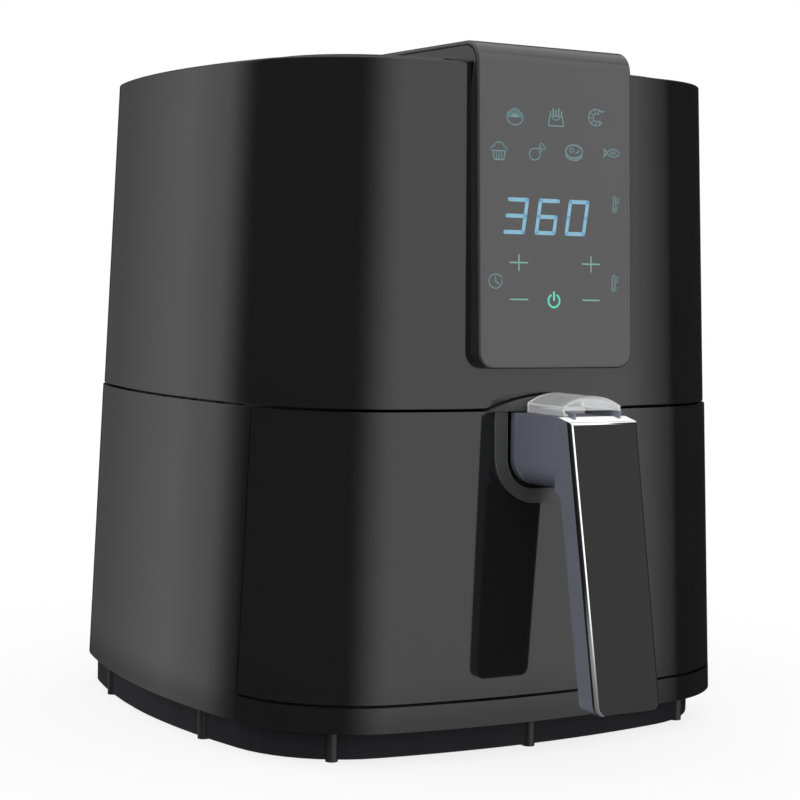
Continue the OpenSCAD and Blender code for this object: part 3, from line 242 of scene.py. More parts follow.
class Finish:
    def __init__(self, name):
        self.material = bpy.data.materials.new(name)
        self.material.use_nodes = True
        self.tree = self.material.node_tree
        self.shader = self.tree.nodes["Principled BSDF"]

    def node(self, kind, settings=None, sockets=None):
        return addNode(self.tree, kind, settings, sockets)

    def place(self):  # object coordinates in millimetres
        spot = self.node("ShaderNodeTexCoord").named("Object")
        sockets = {0: spot, 3: 1 / metresPerMillimetre}
        return self.node("ShaderNodeVectorMath", {"operation": "SCALE"}, sockets)

    def stretched(self, factors):
        return self.node("ShaderNodeVectorMath", {"operation": "MULTIPLY"}, {0: self.place(), 1: factors})

    def noise(self, size, detail=3.0, rough=0.5, where=None):  # size of a blot in millimetres
        sockets = {"Vector": where or self.place(), "Scale": 1 / size}
        sockets.update({"Detail": detail, "Roughness": rough})
        return self.node("ShaderNodeTexNoise", None, sockets)

    def painted(self, name):  # a number that the piece's own mesh carries
        return self.node("ShaderNodeAttribute", {"attribute_name": name}).named("Fac")

    def mix(self, share, first, second):
        return blendColours(self.tree, share, (*first, 1), (*second, 1))

    def feed(self, name, value):
        if isinstance(value, Wire):
            self.tree.links.new(value.socket, self.shader.inputs[name])
        elif isinstance(value, tuple):
            self.shader.inputs[name].default_value = (*value, 1)
        else:
            self.shader.inputs[name].default_value = value
        return self

    def fed(self, name):  # what feeds a socket already
        return Wire(self.tree, self.shader.inputs[name].links[0].from_socket)

    def bump(self, height, depth, strength=1.0):  # depth of the relief in millimetres
        sockets = {"Height": height, "Distance": depth * metresPerMillimetre, "Strength": strength}
        return self.feed("Normal", self.node("ShaderNodeBump", None, sockets))


def moulded(name, dark, light, roughness, spread, grain, relief):  # plastic as it leaves the mould
    made = Finish(name)
    flow = made.noise(38.0, 2.0)
    speck = made.noise(grain, 4.0, 0.6)
    made.feed("Base Color", made.mix(flow, dark, light))
    made.feed("Roughness", roughness + (speck - 0.5) * spread)
    made.bump(speck, relief)
    return made


def metal(name, dark, light, roughness, spread, along, relief):  # rolled or drawn metal
    made = Finish(name)
    streaks = made.noise(1.0, 5.0, 0.65, made.stretched(along))
    blotch = made.noise(24.0, 3.0)
    made.feed("Base Color", made.mix(blotch * 0.6 + streaks * 0.4, dark, light))
    made.feed("Metallic", 1.0)
    made.feed("Roughness", roughness + (streaks - 0.5) * spread)
    made.bump(streaks, relief)
    return made


# the painted highlight along the handle face's left and top edges, dimmed towards its foot
edgeHighlight = {"colour": (0.9, 0.9, 0.91, 1), "roughness": 0.12, "low": 32, "high": 85, "foot": 0.2}


def paintEdgeHighlight(made):  # a painted highlight: a bright metal line where the mesh is painted "rim", darker towards the foot
    height = made.node("ShaderNodeSeparateXYZ", None, {0: made.place()}).named("Z")
    rim = made.painted("rim") * ease(made.tree, height, edgeHighlight["low"], edgeHighlight["high"], edgeHighlight["foot"], 1)
    made.feed("Base Color", blendColours(made.tree, rim, made.fed("Base Color"), edgeHighlight["colour"]))
    made.feed("Roughness", made.fed("Roughness") * (1 - rim) + rim * edgeHighlight["roughness"])
    made.feed("Metallic", rim)


def tintWhere(made, name, colour):  # another colour where the mesh is painted
    share, plain = made.painted(name), made.fed("Base Color")
    made.feed("Base Color", blendColours(made.tree, share, plain, (*colour, 1)))


# the painted highlight on the handle's top: its colour and how strongly it glows
ledgeHighlight = {"colour": (0.9, 0.9, 0.91), "lift": 0.3}


def paintLedgeHighlight(made):  # a painted highlight: pale colour and a glow of its own on the sloping top where the mesh is painted "ledge"
    tintWhere(made, "ledge", ledgeHighlight["colour"])
    made.feed("Emission Color", made.mix(made.painted("ledge"), (0, 0, 0), (1, 1, 1)))
    made.feed("Emission Strength", ledgeHighlight["lift"])


finishes = {
    "gloss_housing": moulded(
        "glossHousing", (0.009, 0.009, 0.0093), (0.0115, 0.0115, 0.012), 0.05, 0.02, 60.0, 0.002
    ),
    "satin_black": moulded(
        "satinBlack", (0.02, 0.02, 0.0205), (0.027, 0.027, 0.028), 0.42, 0.1, 0.5, 0.012
    ),
    "touch_lens": moulded(
        "touchLens", (0.046, 0.046, 0.047), (0.05, 0.05, 0.051), 0.06, 0.02, 50.0, 0.001
    ),
    "handle_grey": moulded(
        "handleGrey", (0.124, 0.133, 0.164), (0.142, 0.152, 0.187), 0.4, 0.1, 0.45, 0.01
    ),
    "handle_face": moulded(
        "handleFace", (0.01, 0.01, 0.0105), (0.014, 0.014, 0.0145), 0.3, 0.06, 0.4, 0.006
    ),
    "foot_plastic": moulded(
        "footPlastic", (0.016, 0.016, 0.016), (0.024, 0.024, 0.024), 0.5, 0.1, 0.6, 0.02
    ),
    "sheet_steel": metal(
        "sheetSteel", (0.5, 0.5, 0.49), (0.62, 0.62, 0.6), 0.3, 0.16, (0.04, 1.6, 1.6), 0.006
    ),
    "nonstick": moulded("nonstick", (0.02, 0.02, 0.021), (0.035, 0.035, 0.036), 0.45, 0.15, 0.7, 0.02),
    "element_sheath": metal(
        "elementSheath", (0.1, 0.095, 0.09), (0.17, 0.15, 0.13), 0.45, 0.15, (1, 1, 1), 0.02
    ),
    "core_laminations": metal(
        "coreLaminations", (0.3, 0.3, 0.31), (0.4, 0.4, 0.41), 0.4, 0.2, (0.05, 0.05, 3), 0.03
    ),
    "copper": metal("copper", (0.62, 0.26, 0.12), (0.78, 0.36, 0.18), 0.3, 0.15, (3, 3, 0.2), 0.03),
    "bronze": metal("bronze", (0.5, 0.33, 0.14), (0.6, 0.42, 0.2), 0.35, 0.1, (1, 1, 1), 0.005),
    "circuit_board": moulded(
        "circuitBoard", (0.01, 0.09, 0.035), (0.02, 0.16, 0.06), 0.35, 0.1, 1.2, 0.02
    ),
    "transformer": moulded(
        "transformerTape", (0.55, 0.42, 0.05), (0.65, 0.5, 0.08), 0.4, 0.1, 2.0, 0.03
    ),
    "relay": moulded("relayCase", (0.02, 0.05, 0.16), (0.03, 0.07, 0.22), 0.35, 0.1, 0.8, 0.01),
    "capacitor": moulded(
        "capacitorSleeve", (0.015, 0.015, 0.03), (0.03, 0.03, 0.06), 0.3, 0.1, 0.8, 0.01
    ),
    "white_plastic": moulded("whitePlastic", (0.72, 0.72, 0.7), (0.8, 0.8, 0.78), 0.4, 0.1, 0.6, 0.01),
    "button": moulded("buttonGrey", (0.5, 0.5, 0.51), (0.58, 0.58, 0.59), 0.35, 0.1, 0.5, 0.008),
    "clear_plastic": moulded(
        "clearPlastic", (0.95, 0.96, 0.97), (1.0, 1.0, 1.0), 0.04, 0.02, 8.0, 0.004
    ),
    "wire": moulded("wireSleeve", (0.4, 0.02, 0.02), (0.5, 0.04, 0.03), 0.45, 0.1, 0.8, 0.01),
    "screw_steel": metal(
        "screwSteel", (0.55, 0.55, 0.55), (0.68, 0.68, 0.68), 0.28, 0.12, (1, 1, 1), 0.01
    ),
}
clear = finishes["clear_plastic"]
# painted light: the clear plastic glows faint grey all over, and white on its rounded edges painted "rim"
# as a painted highlight
clear.feed("Transmission Weight", 0.86).feed("IOR", 1.49).feed("Emission Strength", 0.5)
clear.feed("Emission Color", clear.mix(clear.painted("rim"), (0.12, 0.12, 0.12), (1.0, 1.0, 1.0)))
finishes["handle_face"].feed("Specular IOR Level", 0.22)
paintEdgeHighlight(finishes["handle_face"])
paintLedgeHighlight(finishes["handle_face"])
paintLedgeHighlight(finishes["handle_grey"])
collarFinish = moulded(
    "collarBlack", (0.046, 0.046, 0.047), (0.054, 0.054, 0.055), 0.24, 0.08, 0.5, 0.008
)
# a painted highlight: a pale tint where the collar's mesh is painted "sheen"
tintWhere(collarFinish, "sheen", (0.34, 0.37, 0.36))
bandFinish = moulded("bandBlack", (0.022, 0.022, 0.0225), (0.028, 0.028, 0.029), 0.26, 0.08, 0.5, 0.008)
plinthFinish = moulded(
    "plinthBlack", (0.014, 0.0135, 0.017), (0.018, 0.0175, 0.021), 0.5, 0.12, 0.6, 0.015
)
plinthFinish.feed("Specular IOR Level", 0.08)
ownFinish = {"base_plate": plinthFinish, "control_band": bandFinish}
for name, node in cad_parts.items():
    for place in node.material_slots:
        finish = ownFinish.get(name, finishes[place.material.name])
        place.material = finish.material
print("finishes made:", len(finishes))


beyond = {"back": -100, "front": -200, "side": 40}  # how far cutting tools run past the shape


def halfWidth(z):
    return body["width"] / 2 - z * math.tan(body["lean"])


def halfDepth(z):
    return body["depth"] / 2 - z * math.tan(body["lean"])


def bowRadius(chord, bow):
    return (chord * chord + bow * bow) / (2 * bow)


def outlineRing(bm, z, inset=0):
    sideRadius = bowRadius(halfDepth(z), body["sideBow"])
    frontRadius = bowRadius(halfWidth(z), body["frontBow"])
    side = Vector((halfWidth(z) - sideRadius, 0, z))
    front = Vector((0, halfDepth(z) - frontRadius, z))
    between = front - side
    sideReach, frontReach = sideRadius - body["cornerRadius"], frontRadius - body["cornerRadius"]
    along = (sideReach**2 - frontReach**2 + between.length_squared) / (2 * between.length)
    across = math.sqrt(sideReach**2 - along**2)
    unit = between.normalized()
    corner = side + along * unit + across * Vector((-unit.y, unit.x, 0))
    firstTurn = math.atan2(corner.y - side.y, corner.x - side.x)
    lastTurn = math.atan2(corner.y - front.y, corner.x - front.x)
    tip = bm.verts.new((halfWidth(z) - inset, 0, z))
    turns = [
        (side, firstTurn, body["sideSteps"]),
        (corner, lastTurn - firstTurn, body["cornerSteps"]),
        (front, math.pi / 2 - lastTurn, body["frontSteps"]),
    ]
    for centre, angle, steps in turns:
        spun = bmesh.ops.spin(
            bm, geom=[tip], cent=centre, axis=(0, 0, 1), dvec=(0, 0, 0), angle=angle, steps=steps
        )
        tip = spun["geom_last"][0]
    for axis in "XY":
        loose = [e for e in bm.edges if e.is_wire]
        verts = list({v for e in loose for v in e.verts})
        bmesh.ops.mirror(bm, geom=verts + loose, matrix=Matrix(), merge_dist=1e-3, axis=axis)
    return [e for e in bm.edges if e.is_wire]


def vertsOf(grown):
    return [g for g in grown if isinstance(g, bmesh.types.BMVert)]


def raiseRing(bm, ring, fromHeight, toHeight, inset=0):  # carries a ring up the leaning wall
    grown = bmesh.ops.extrude_edge_only(bm, edges=ring)["geom"]
    verts = vertsOf(grown)
    bmesh.ops.translate(bm, vec=(0, 0, toHeight - fromHeight), verts=verts)
    across = (halfWidth(toHeight) - inset) / (halfWidth(fromHeight) - inset)
    deep = (halfDepth(toHeight) - inset) / (halfDepth(fromHeight) - inset)
    bmesh.ops.scale(bm, vec=(across, deep, 1), verts=verts)
    level = set(verts)
    return [g for g in grown if isinstance(g, bmesh.types.BMEdge) and set(g.verts) <= level]


def splitAt(bm, axis, *values):
    normal = {"x": (1, 0, 0), "y": (0, 1, 0), "z": (0, 0, 1)}[axis]
    for value in values:
        everything = bm.verts[:] + bm.edges[:] + bm.faces[:]
        point = [value * n for n in normal]
        bmesh.ops.bisect_plane(bm, geom=everything, dist=1e-4, plane_co=point, plane_no=normal)


def dropFaces(bm, test):
    gone = [f for f in bm.faces if test(f.calc_center_median())]
    bmesh.ops.delete(bm, geom=gone, context="FACES")


def thicken(bm, thickness):  # the wall goes inwards
    bmesh.ops.remove_doubles(bm, verts=bm.verts, dist=1e-3)
    bmesh.ops.recalc_face_normals(bm, faces=bm.faces)
    bmesh.ops.solidify(bm, geom=bm.faces[:], thickness=thickness)


def bevelEdges(bm, edges, width, segments, clamp=False):
    made = bmesh.ops.bevel(
        bm,
        geom=edges,
        offset=width,
        segments=segments,
        profile=0.5,
        affect="EDGES",
        material=-1,
        clamp_overlap=clamp,
    )
    return made["faces"]


def roundEdges(bm, width, segments=3, test=None):
    corners = [
        e
        for e in bm.edges
        if e.is_manifold and e.calc_face_angle(0) > sharpAngle and (test is None or test(e))
    ]
    return bevelEdges(bm, corners, width, segments, True)


def middle(edge):
    return (edge.verts[0].co + edge.verts[1].co) / 2


def addBox(bm, x0, x1, y0, y1, z0, z1):
    size = Matrix.Diagonal((x1 - x0, y1 - y0, z1 - z0, 1))
    centre = Matrix.Translation(((x0 + x1) / 2, (y0 + y1) / 2, (z0 + z1) / 2))
    return bmesh.ops.create_cube(bm, size=1, matrix=centre @ size)["verts"]


def solidFace(bm, points, push):  # a flat outline pushed into a solid
    face = bm.faces.new([bm.verts.new(p) for p in points])
    grown = bmesh.ops.extrude_face_region(bm, geom=[face])["geom"]
    bmesh.ops.translate(bm, vec=push, verts=vertsOf(grown))
    bmesh.ops.recalc_face_normals(bm, faces=bm.faces)


def combine(bm, tool, operation):  # a boolean of two solids, as a new bmesh
    made = []
    for source in (bm, tool):
        mesh = bpy.data.meshes.new("operand")
        source.to_mesh(mesh)
        source.free()
        made.append(bpy.data.objects.new("operand", mesh))
        scene.collection.objects.link(made[-1])
    cut = made[0].modifiers.new("combine", "BOOLEAN")
    cut.object = made[1]
    cut.operation = operation
    cut.solver = "EXACT"
    result = bmesh.new()
    result.from_object(made[0], bpy.context.evaluated_depsgraph_get())
    for operand in made:
        bpy.data.meshes.remove(operand.data)
    bmesh.ops.remove_doubles(result, verts=result.verts, dist=1e-3)
    return result


def carve(bm, tool):
    return combine(bm, tool, "DIFFERENCE")


def frontSolid(points, back=beyond["back"], front=beyond["front"]):  # from X and Z, along Y
    made = bmesh.new()
    solidFace(made, [(x, back, z) for x, z in points], (0, front - back, 0))
    return made


def sideSolid(points, half):  # a side view in Y and Z as a solid across the middle
    made = bmesh.new()
    solidFace(made, [(-half, y, z) for y, z in points], (2 * half, 0, 0))
    return made


def leaningSolid(low, high, inset=0):  # a filled slice of the body
    made = bmesh.new()
    ring = outlineRing(made, low, inset)
    bmesh.ops.contextual_create(made, geom=ring)
    top = raiseRing(made, ring, low, high, inset)
    bmesh.ops.contextual_create(made, geom=top)
    bmesh.ops.recalc_face_normals(made, faces=made.faces)
    return made


def arcPoints(across, up, radius, start, turn, steps):  # points round a centre, angles in radians
    angles = [start + turn * i / steps for i in range(steps + 1)]
    return [(across + radius * math.cos(a), up + radius * math.sin(a)) for a in angles]


def boxSolid(x0, x1, y0, y1, z0, z1):
    made = bmesh.new()
    addBox(made, x0, x1, y0, y1, z0, z1)
    return made


def roundRod(radius, centre, length, turnAxis, segments):  # a cylinder about its middle
    made = bmesh.new()
    turn = Matrix.Rotation(math.pi / 2, 4, turnAxis) if turnAxis else Matrix()
    bmesh.ops.create_cone(
        made,
        cap_ends=True,
        segments=segments,
        radius1=radius,
        radius2=radius,
        depth=length,
        matrix=Matrix.Translation(centre) @ turn,
    )
    return made


def finishPiece(bm, name, bodyName, slotName, replaced=()):
    bmesh.ops.scale(bm, vec=(metresPerMillimetre,) * 3, verts=bm.verts)
    mesh = bpy.data.meshes.new(name)
    bm.to_mesh(mesh)
    bm.free()
    mesh.shade_smooth()
    mesh.set_sharp_from_angle(angle=sharpAngle)
    mesh.materials.append(finishes[slotName].material)
    piece = bpy.data.objects.new(name, mesh)
    scene.collection.objects.link(piece)
    weighted = piece.modifiers.new("evenShading", "WEIGHTED_NORMAL")
    weighted.keep_sharp = True
    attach(piece, bodyName)
    if replaced:
        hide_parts(*replaced)
    return piece


upper = {
    "rimRounding": 1.0,
    "seamRounding": 0.45,
    "archHeight": 7.2,  # above the seam
    "archRadius": 84,
    "archSteps": 40,
    "archBlend": 12,  # height over which the wall's mesh follows the arch
    "pocketBack": -119.0,  # the pocket behind the arch takes the handle's shoulder
    "pocketWall": 1.6,
    "ventHalf": 50,
    "ventLow": 158.2,
    "ventHigh": 196,
    "windowHalf": 34,
    "windowLow": 186,
    "windowHigh": 286.7,
}


# height of the middle of the arch's circle
archCentre = body["seamHeight"] + upper["archHeight"] - upper["archRadius"]


def archHeightAt(x):  # height of the arch over the handle's neck
    return archCentre + math.sqrt(upper["archRadius"] ** 2 - x * x)


def archSolid(grow, back):  # the arch as a solid from in front of the wall to its back
    low = body["seamHeight"] + body["seamGap"] / 2
    radius = upper["archRadius"] + grow
    reach = math.acos((low - archCentre) / radius)
    arch = arcPoints(0, archCentre, radius, math.pi / 2 - reach, 2 * reach, upper["archSteps"])
    half, foot = radius * math.sin(reach), low - (0 if grow else 1)
    return frontSolid([*arch, (-half, foot), (half, foot)], back)


def makeUpperHousing():
    low, high = body["seamHeight"] + body["seamGap"] / 2, body["rimHeight"]
    bm = bmesh.new()
    raiseRing(bm, outlineRing(bm, low), low, high)
    archEnd = math.sqrt(upper["archRadius"] ** 2 - (low - archCentre) ** 2)
    splitAt(bm, "x", -upper["ventHalf"], -upper["windowHalf"], -archEnd)
    splitAt(bm, "x", archEnd, upper["windowHalf"], upper["ventHalf"])
    splitAt(bm, "z", upper["ventLow"], upper["windowLow"], upper["ventHigh"], upper["windowHigh"])
    dropFaces(
        bm,
        lambda c: c.y > 0
        and abs(c.x) < upper["ventHalf"]
        and upper["ventLow"] < c.z < upper["ventHigh"],
    )
    dropFaces(
        bm,
        lambda c: c.y < 0
        and abs(c.x) < upper["windowHalf"]
        and upper["windowLow"] < c.z < upper["windowHigh"],
    )
    blendTop = low + upper["archBlend"]
    splitAt(bm, "z", blendTop)
    for v in bm.verts:
        if v.co.y < 0 and abs(v.co.x) < archEnd + 1e-3 and v.co.z < blendTop - 0.1:
            share = (blendTop - v.co.z) / upper["archBlend"]
            v.co.z += (archHeightAt(v.co.x) - low) * share
    thicken(bm, body["wall"])
    roundEdges(bm, upper["rimRounding"], 4, lambda e: middle(e).z > high - 0.5)
    roundEdges(bm, upper["seamRounding"], 2, lambda e: middle(e).z < high - 5)
    pocket = archSolid(upper["pocketWall"], upper["pocketBack"] + upper["pocketWall"])
    pocket = combine(pocket, leaningSolid(low, low + 20, body["wall"] - 0.1), "INTERSECT")
    pocket = carve(pocket, archSolid(0, upper["pocketBack"]))
    bm = combine(bm, pocket, "UNION")
    finishPiece(bm, "upperHousing", "housing", "gloss_housing", ["upper_housing"])


lower = {
    "stripTop": 26.2,
    "bayEdge": -82.2,
    "rounding": 0.45,
    "gland": {"x": -60, "y": 130, "z": 48, "radius": 7.5, "length": 60},
    "intake": {"inner": 30, "outer": 90, "pitch": 9, "width": 4, "count": 9},
    "screw": {"x": 78, "y": 84, "radius": 2.1, "length": 9},
}


def makeLowerHousing():
    low, high = body["skirtHeight"], body["seamHeight"] - body["seamGap"] / 2
    bm = bmesh.new()
    ring = outlineRing(bm, low)
    bmesh.ops.contextual_create(bm, geom=ring)
    raiseRing(bm, ring, low, high)
    splitAt(bm, "y", lower["bayEdge"])
    splitAt(bm, "z", lower["stripTop"])
    dropFaces(bm, lambda c: c.y < lower["bayEdge"] and c.z > lower["stripTop"])
    thicken(bm, body["wall"])
    gland, screw, intake = lower["gland"], lower["screw"], lower["intake"]
    glandPlace = (gland["x"], gland["y"], gland["z"])
    bm = carve(bm, roundRod(gland["radius"], glandPlace, gland["length"], "X", 48))
    for x in (-screw["x"], screw["x"]):
        for y in (-screw["y"], screw["y"]):
            hole = roundRod(screw["radius"], (x, y, low), screw["length"], None, 24)
            bm = carve(bm, hole)
    slots = bmesh.new()
    for side in (-1, 1):
        for i in range(intake["count"]):
            y = (i - (intake["count"] - 1) / 2) * intake["pitch"]
            x0, x1 = sorted((side * intake["inner"], side * intake["outer"]))
            addBox(slots, x0, x1, y - intake["width"] / 2, y + intake["width"] / 2, low - 5, low + 5)
    bm = carve(bm, slots)
    roundEdges(bm, lower["rounding"], 2)
    finishPiece(bm, "lowerHousing", "housing", "gloss_housing", ["lower_housing"])


drawer = {"low": 27.4, "high": 153.05, "edge": -83, "rounding": 0.5}
collar = {
    "half": 29.4,
    "low": 112.3,
    "radius": 21,
    "proud": 1.4,
    "openingHalf": 23.2,
    "openingLow": 119,
    "openingRadius": 13,
    "gap": 0.1,
    "steps": 16,
    "rounding": 0.7,
    "sheenLow": 124.3,
    "sheenOutside": 0.3,
}


def uPoints(half, low, radius, high, steps):  # a U in X and Z, from its left arm round to its right
    quarter = math.pi / 2
    left = arcPoints(radius - half, low + radius, radius, 2 * quarter, quarter, steps)
    right = arcPoints(half - radius, low + radius, radius, 3 * quarter, quarter, steps)
    return [(-half, high), *left, *right, (half, high)]


def makeDrawerFront():
    bm = bmesh.new()
    ring = outlineRing(bm, drawer["low"])
    raiseRing(bm, ring, drawer["low"], drawer["high"])
    splitAt(bm, "y", drawer["edge"])
    dropFaces(bm, lambda c: c.y > drawer["edge"])
    floorEdges = [e for e in bm.edges if abs(middle(e).z - drawer["low"]) < 0.1 and e.is_boundary]
    bmesh.ops.contextual_create(bm, geom=floorEdges)
    thicken(bm, body["wall"])
    half, low = collar["half"] + collar["gap"], collar["low"] - collar["gap"]
    outline = uPoints(half, low, collar["radius"], drawer["high"] + 20, collar["steps"])
    bm = carve(bm, frontSolid(outline))
    roundEdges(bm, drawer["rounding"], 2)
    finishPiece(bm, "drawerFront", "drawer", "gloss_housing", ["drawer_front"])


cover = {
    "inset": 2.9,
    "thick": 3,
    "crownInset": 16,
    "crownHeight": 2.5,
    "rounding": 0.9,
    "bandHalf": 41.3,  # the recess that takes the touch panel's band
    "bandBack": 72.3,
    "slot": {"inner": 51, "outer": 85, "first": 20, "pitch": 8, "width": 3, "count": 8},
}


def makeTopCover():
    high = body["rimHeight"]
    bm = bmesh.new()
    ring = outlineRing(bm, high - cover["thick"], cover["inset"])
    bmesh.ops.contextual_create(bm, geom=ring)
    ring = raiseRing(bm, ring, high - cover["thick"], high, cover["inset"])
    inner = outlineRing(bm, high, cover["crownInset"])
    bmesh.ops.bridge_loops(bm, edges=ring + inner)
    top = raiseRing(bm, inner, high, high + cover["crownHeight"], cover["crownInset"])
    bmesh.ops.contextual_create(bm, geom=top)
    bmesh.ops.recalc_face_normals(bm, faces=bm.faces)
    roundEdges(bm, cover["rounding"], 3)
    recess = boxSolid(-cover["bandHalf"], cover["bandHalf"], -300, cover["bandBack"], high, high + 50)
    bm = carve(bm, recess)
    slot, slots = cover["slot"], bmesh.new()
    for side in (-1, 1):
        for i in range(slot["count"]):
            x0, x1 = sorted((side * slot["inner"], side * slot["outer"]))
            y = slot["first"] + i * slot["pitch"]
            addBox(slots, x0, x1, y, y + slot["width"], high - cover["thick"] - 1, high + 9)
    bm = carve(bm, slots)
    finishPiece(bm, "topCover", "housing", "gloss_housing", ["top_cover"])


makeUpperHousing()
makeLowerHousing()
makeDrawerFront()
makeTopCover()
print("housing and drawer front made")


panel = {
    "half": 41,
    "low": 172,
    "face": -139.8,
    "lean": math.radians(2.84),
    "top": 314.2,
    "bend": 10,
    "bendSteps": 16,
    "back": 72,
    "corner": 7.5,
    "thick": 2.2,
    "rounding": 1.0,
}


def makeTouchLens():
    lean, bend = panel["lean"], panel["bend"]
    bendHeight = panel["top"] - bend
    straight = (bendHeight - panel["low"] + bend * math.sin(lean)) / math.cos(lean)
    centreY = panel["face"] + (bendHeight - panel["low"]) * math.tan(lean) + bend / math.cos(lean)
    turn = math.pi / 2 - lean
    curved = bend * turn
    whole = straight + curved + panel["back"] - centreY
    bm = bmesh.new()
    half, steps = panel["half"], panel["bendSteps"]
    corners = [(-half, 0, 0), (half, 0, 0), (half, whole, 0), (-half, whole, 0)]
    bm.faces.new([bm.verts.new(c) for c in corners])
    bmesh.ops.bevel(
        bm,
        geom=bm.verts[:],
        offset=panel["corner"],
        segments=10,
        profile=0.5,
        affect="VERTICES",
        material=-1,
    )
    splitAt(bm, "y", *[straight + curved * i / steps for i in range(steps + 1)])
    for v in bm.verts:
        along = v.co.y
        if along <= straight:
            v.co.y = panel["face"] + along * math.sin(lean)
            v.co.z = panel["low"] + along * math.cos(lean)
        elif along <= straight + curved:
            angle = math.pi - lean - (along - straight) / bend
            v.co.y = centreY + bend * math.cos(angle)
            v.co.z = bendHeight + bend * math.sin(angle)
        else:
            v.co.y = centreY + along - straight - curved
            v.co.z = panel["top"]
    bmesh.ops.recalc_face_normals(bm, faces=bm.faces)
    if sum(f.normal.z for f in bm.faces) < 0:
        bmesh.ops.reverse_faces(bm, faces=bm.faces)
    bmesh.ops.solidify(bm, geom=bm.faces[:], thickness=panel["thick"])
    roundEdges(bm, panel["rounding"], 4)
    finishPiece(bm, "touchLens", "housing", "touch_lens", ["touch_lens"])


def makeHandleCollar():
    low, high = collar["low"], drawer["high"]
    bm = leaningSolid(low - 4, high, -collar["proud"])
    bm = carve(bm, leaningSolid(low - 5, high + 1, body["wall"]))
    outline = uPoints(collar["half"], low, collar["radius"], high + 5, collar["steps"])
    bm = combine(bm, frontSolid(outline), "INTERSECT")
    opening = uPoints(
        collar["openingHalf"], collar["openingLow"], collar["openingRadius"], high + 9, collar["steps"]
    )
    bm = carve(bm, frontSolid(opening))
    # the left bevels above sheenLow carry a painted highlight, full round the opening and weaker on the
    # outer edge
    sheen = bm.faces.layers.float.new("sheen")
    for f in roundEdges(bm, collar["rounding"], 3):
        middleX, _, middleZ = f.calc_center_median()
        if middleX < 0 and middleZ > collar["sheenLow"]:
            f[sheen] = 1.0 if middleX > -collar["openingHalf"] - 1 else collar["sheenOutside"]
    piece = finishPiece(bm, "handleCollar", "drawer", "satin_black", ["handle_collar"])
    piece.data.materials[0] = collarFinish.material


handle = {
    "top": 152.6,
    "neckLow": 120.6,
    "half": 17.7,
    "footHalf": 16.7,
    "faceY": -174.9,  # at the top
    "lean": math.radians(10.8),
    "low": 28.8,
    "faceDepth": 2.85,
    "shellDepth": 12.52,
    "blend": 5,
    "blendSteps": 10,
    "chamfer": 4,
    "neckRadius": 10,
    "neckBack": -134.05,
    "rootHalf": 20.2,
    "rootFront": -137.55,
    "rootRadius": 12.2,
    "cavityHalf": 12,
    "cavityLow": 125.6,
    "cavityHigh": 149.6,
    "rounding": 0.9,
    "roundedTo": -134.5,  # edges further back lie inside the drawer
    "browDrop": 1.8,  # how far the top slopes down in front of the guard
}
button = {
    "half": 9,
    "front": -149.55,
    "back": -140.05,
    "top": 155.2,
    "low": 148.8,
    "slack": 0.3,
    "rounding": 1.2,
    "groove": {"radius": 0.4, "count": 5, "margin": 2},
    "flange": {"side": 1.4, "back": 3.4, "low": 147.3, "high": 149.3},
    "stem": {"radius": 2.4, "length": 11, "middle": 142.5},
}


def gripFaceAt(z):
    return handle["faceY"] - (handle["top"] - z) * math.tan(handle["lean"])


def taperGrip(bm):  # the grip narrows towards its foot
    for v in bm.verts:
        share = (handle["top"] - v.co.z) / (handle["top"] - handle["low"])
        v.co.x *= 1 + share * (handle["footHalf"] / handle["half"] - 1)


def chamferFoot(bm):
    corners = [
        e
        for e in bm.edges
        if middle(e).z < handle["low"] + 0.1 and abs(e.verts[0].co.x - e.verts[1].co.x) < 0.1
    ]
    bevelEdges(bm, corners, handle["chamfer"], 3)


def browSolid():  # what the slope in front of the guard takes off
    top, face, start = handle["top"], gripFaceAt(handle["top"]), guard["front"]
    end = face - 2
    drop = handle["browDrop"] * (start - end) / (start - face)
    return sideSolid([(start, top), (end, top - drop), (end, top + 2), (start, top + 2)], beyond["side"])


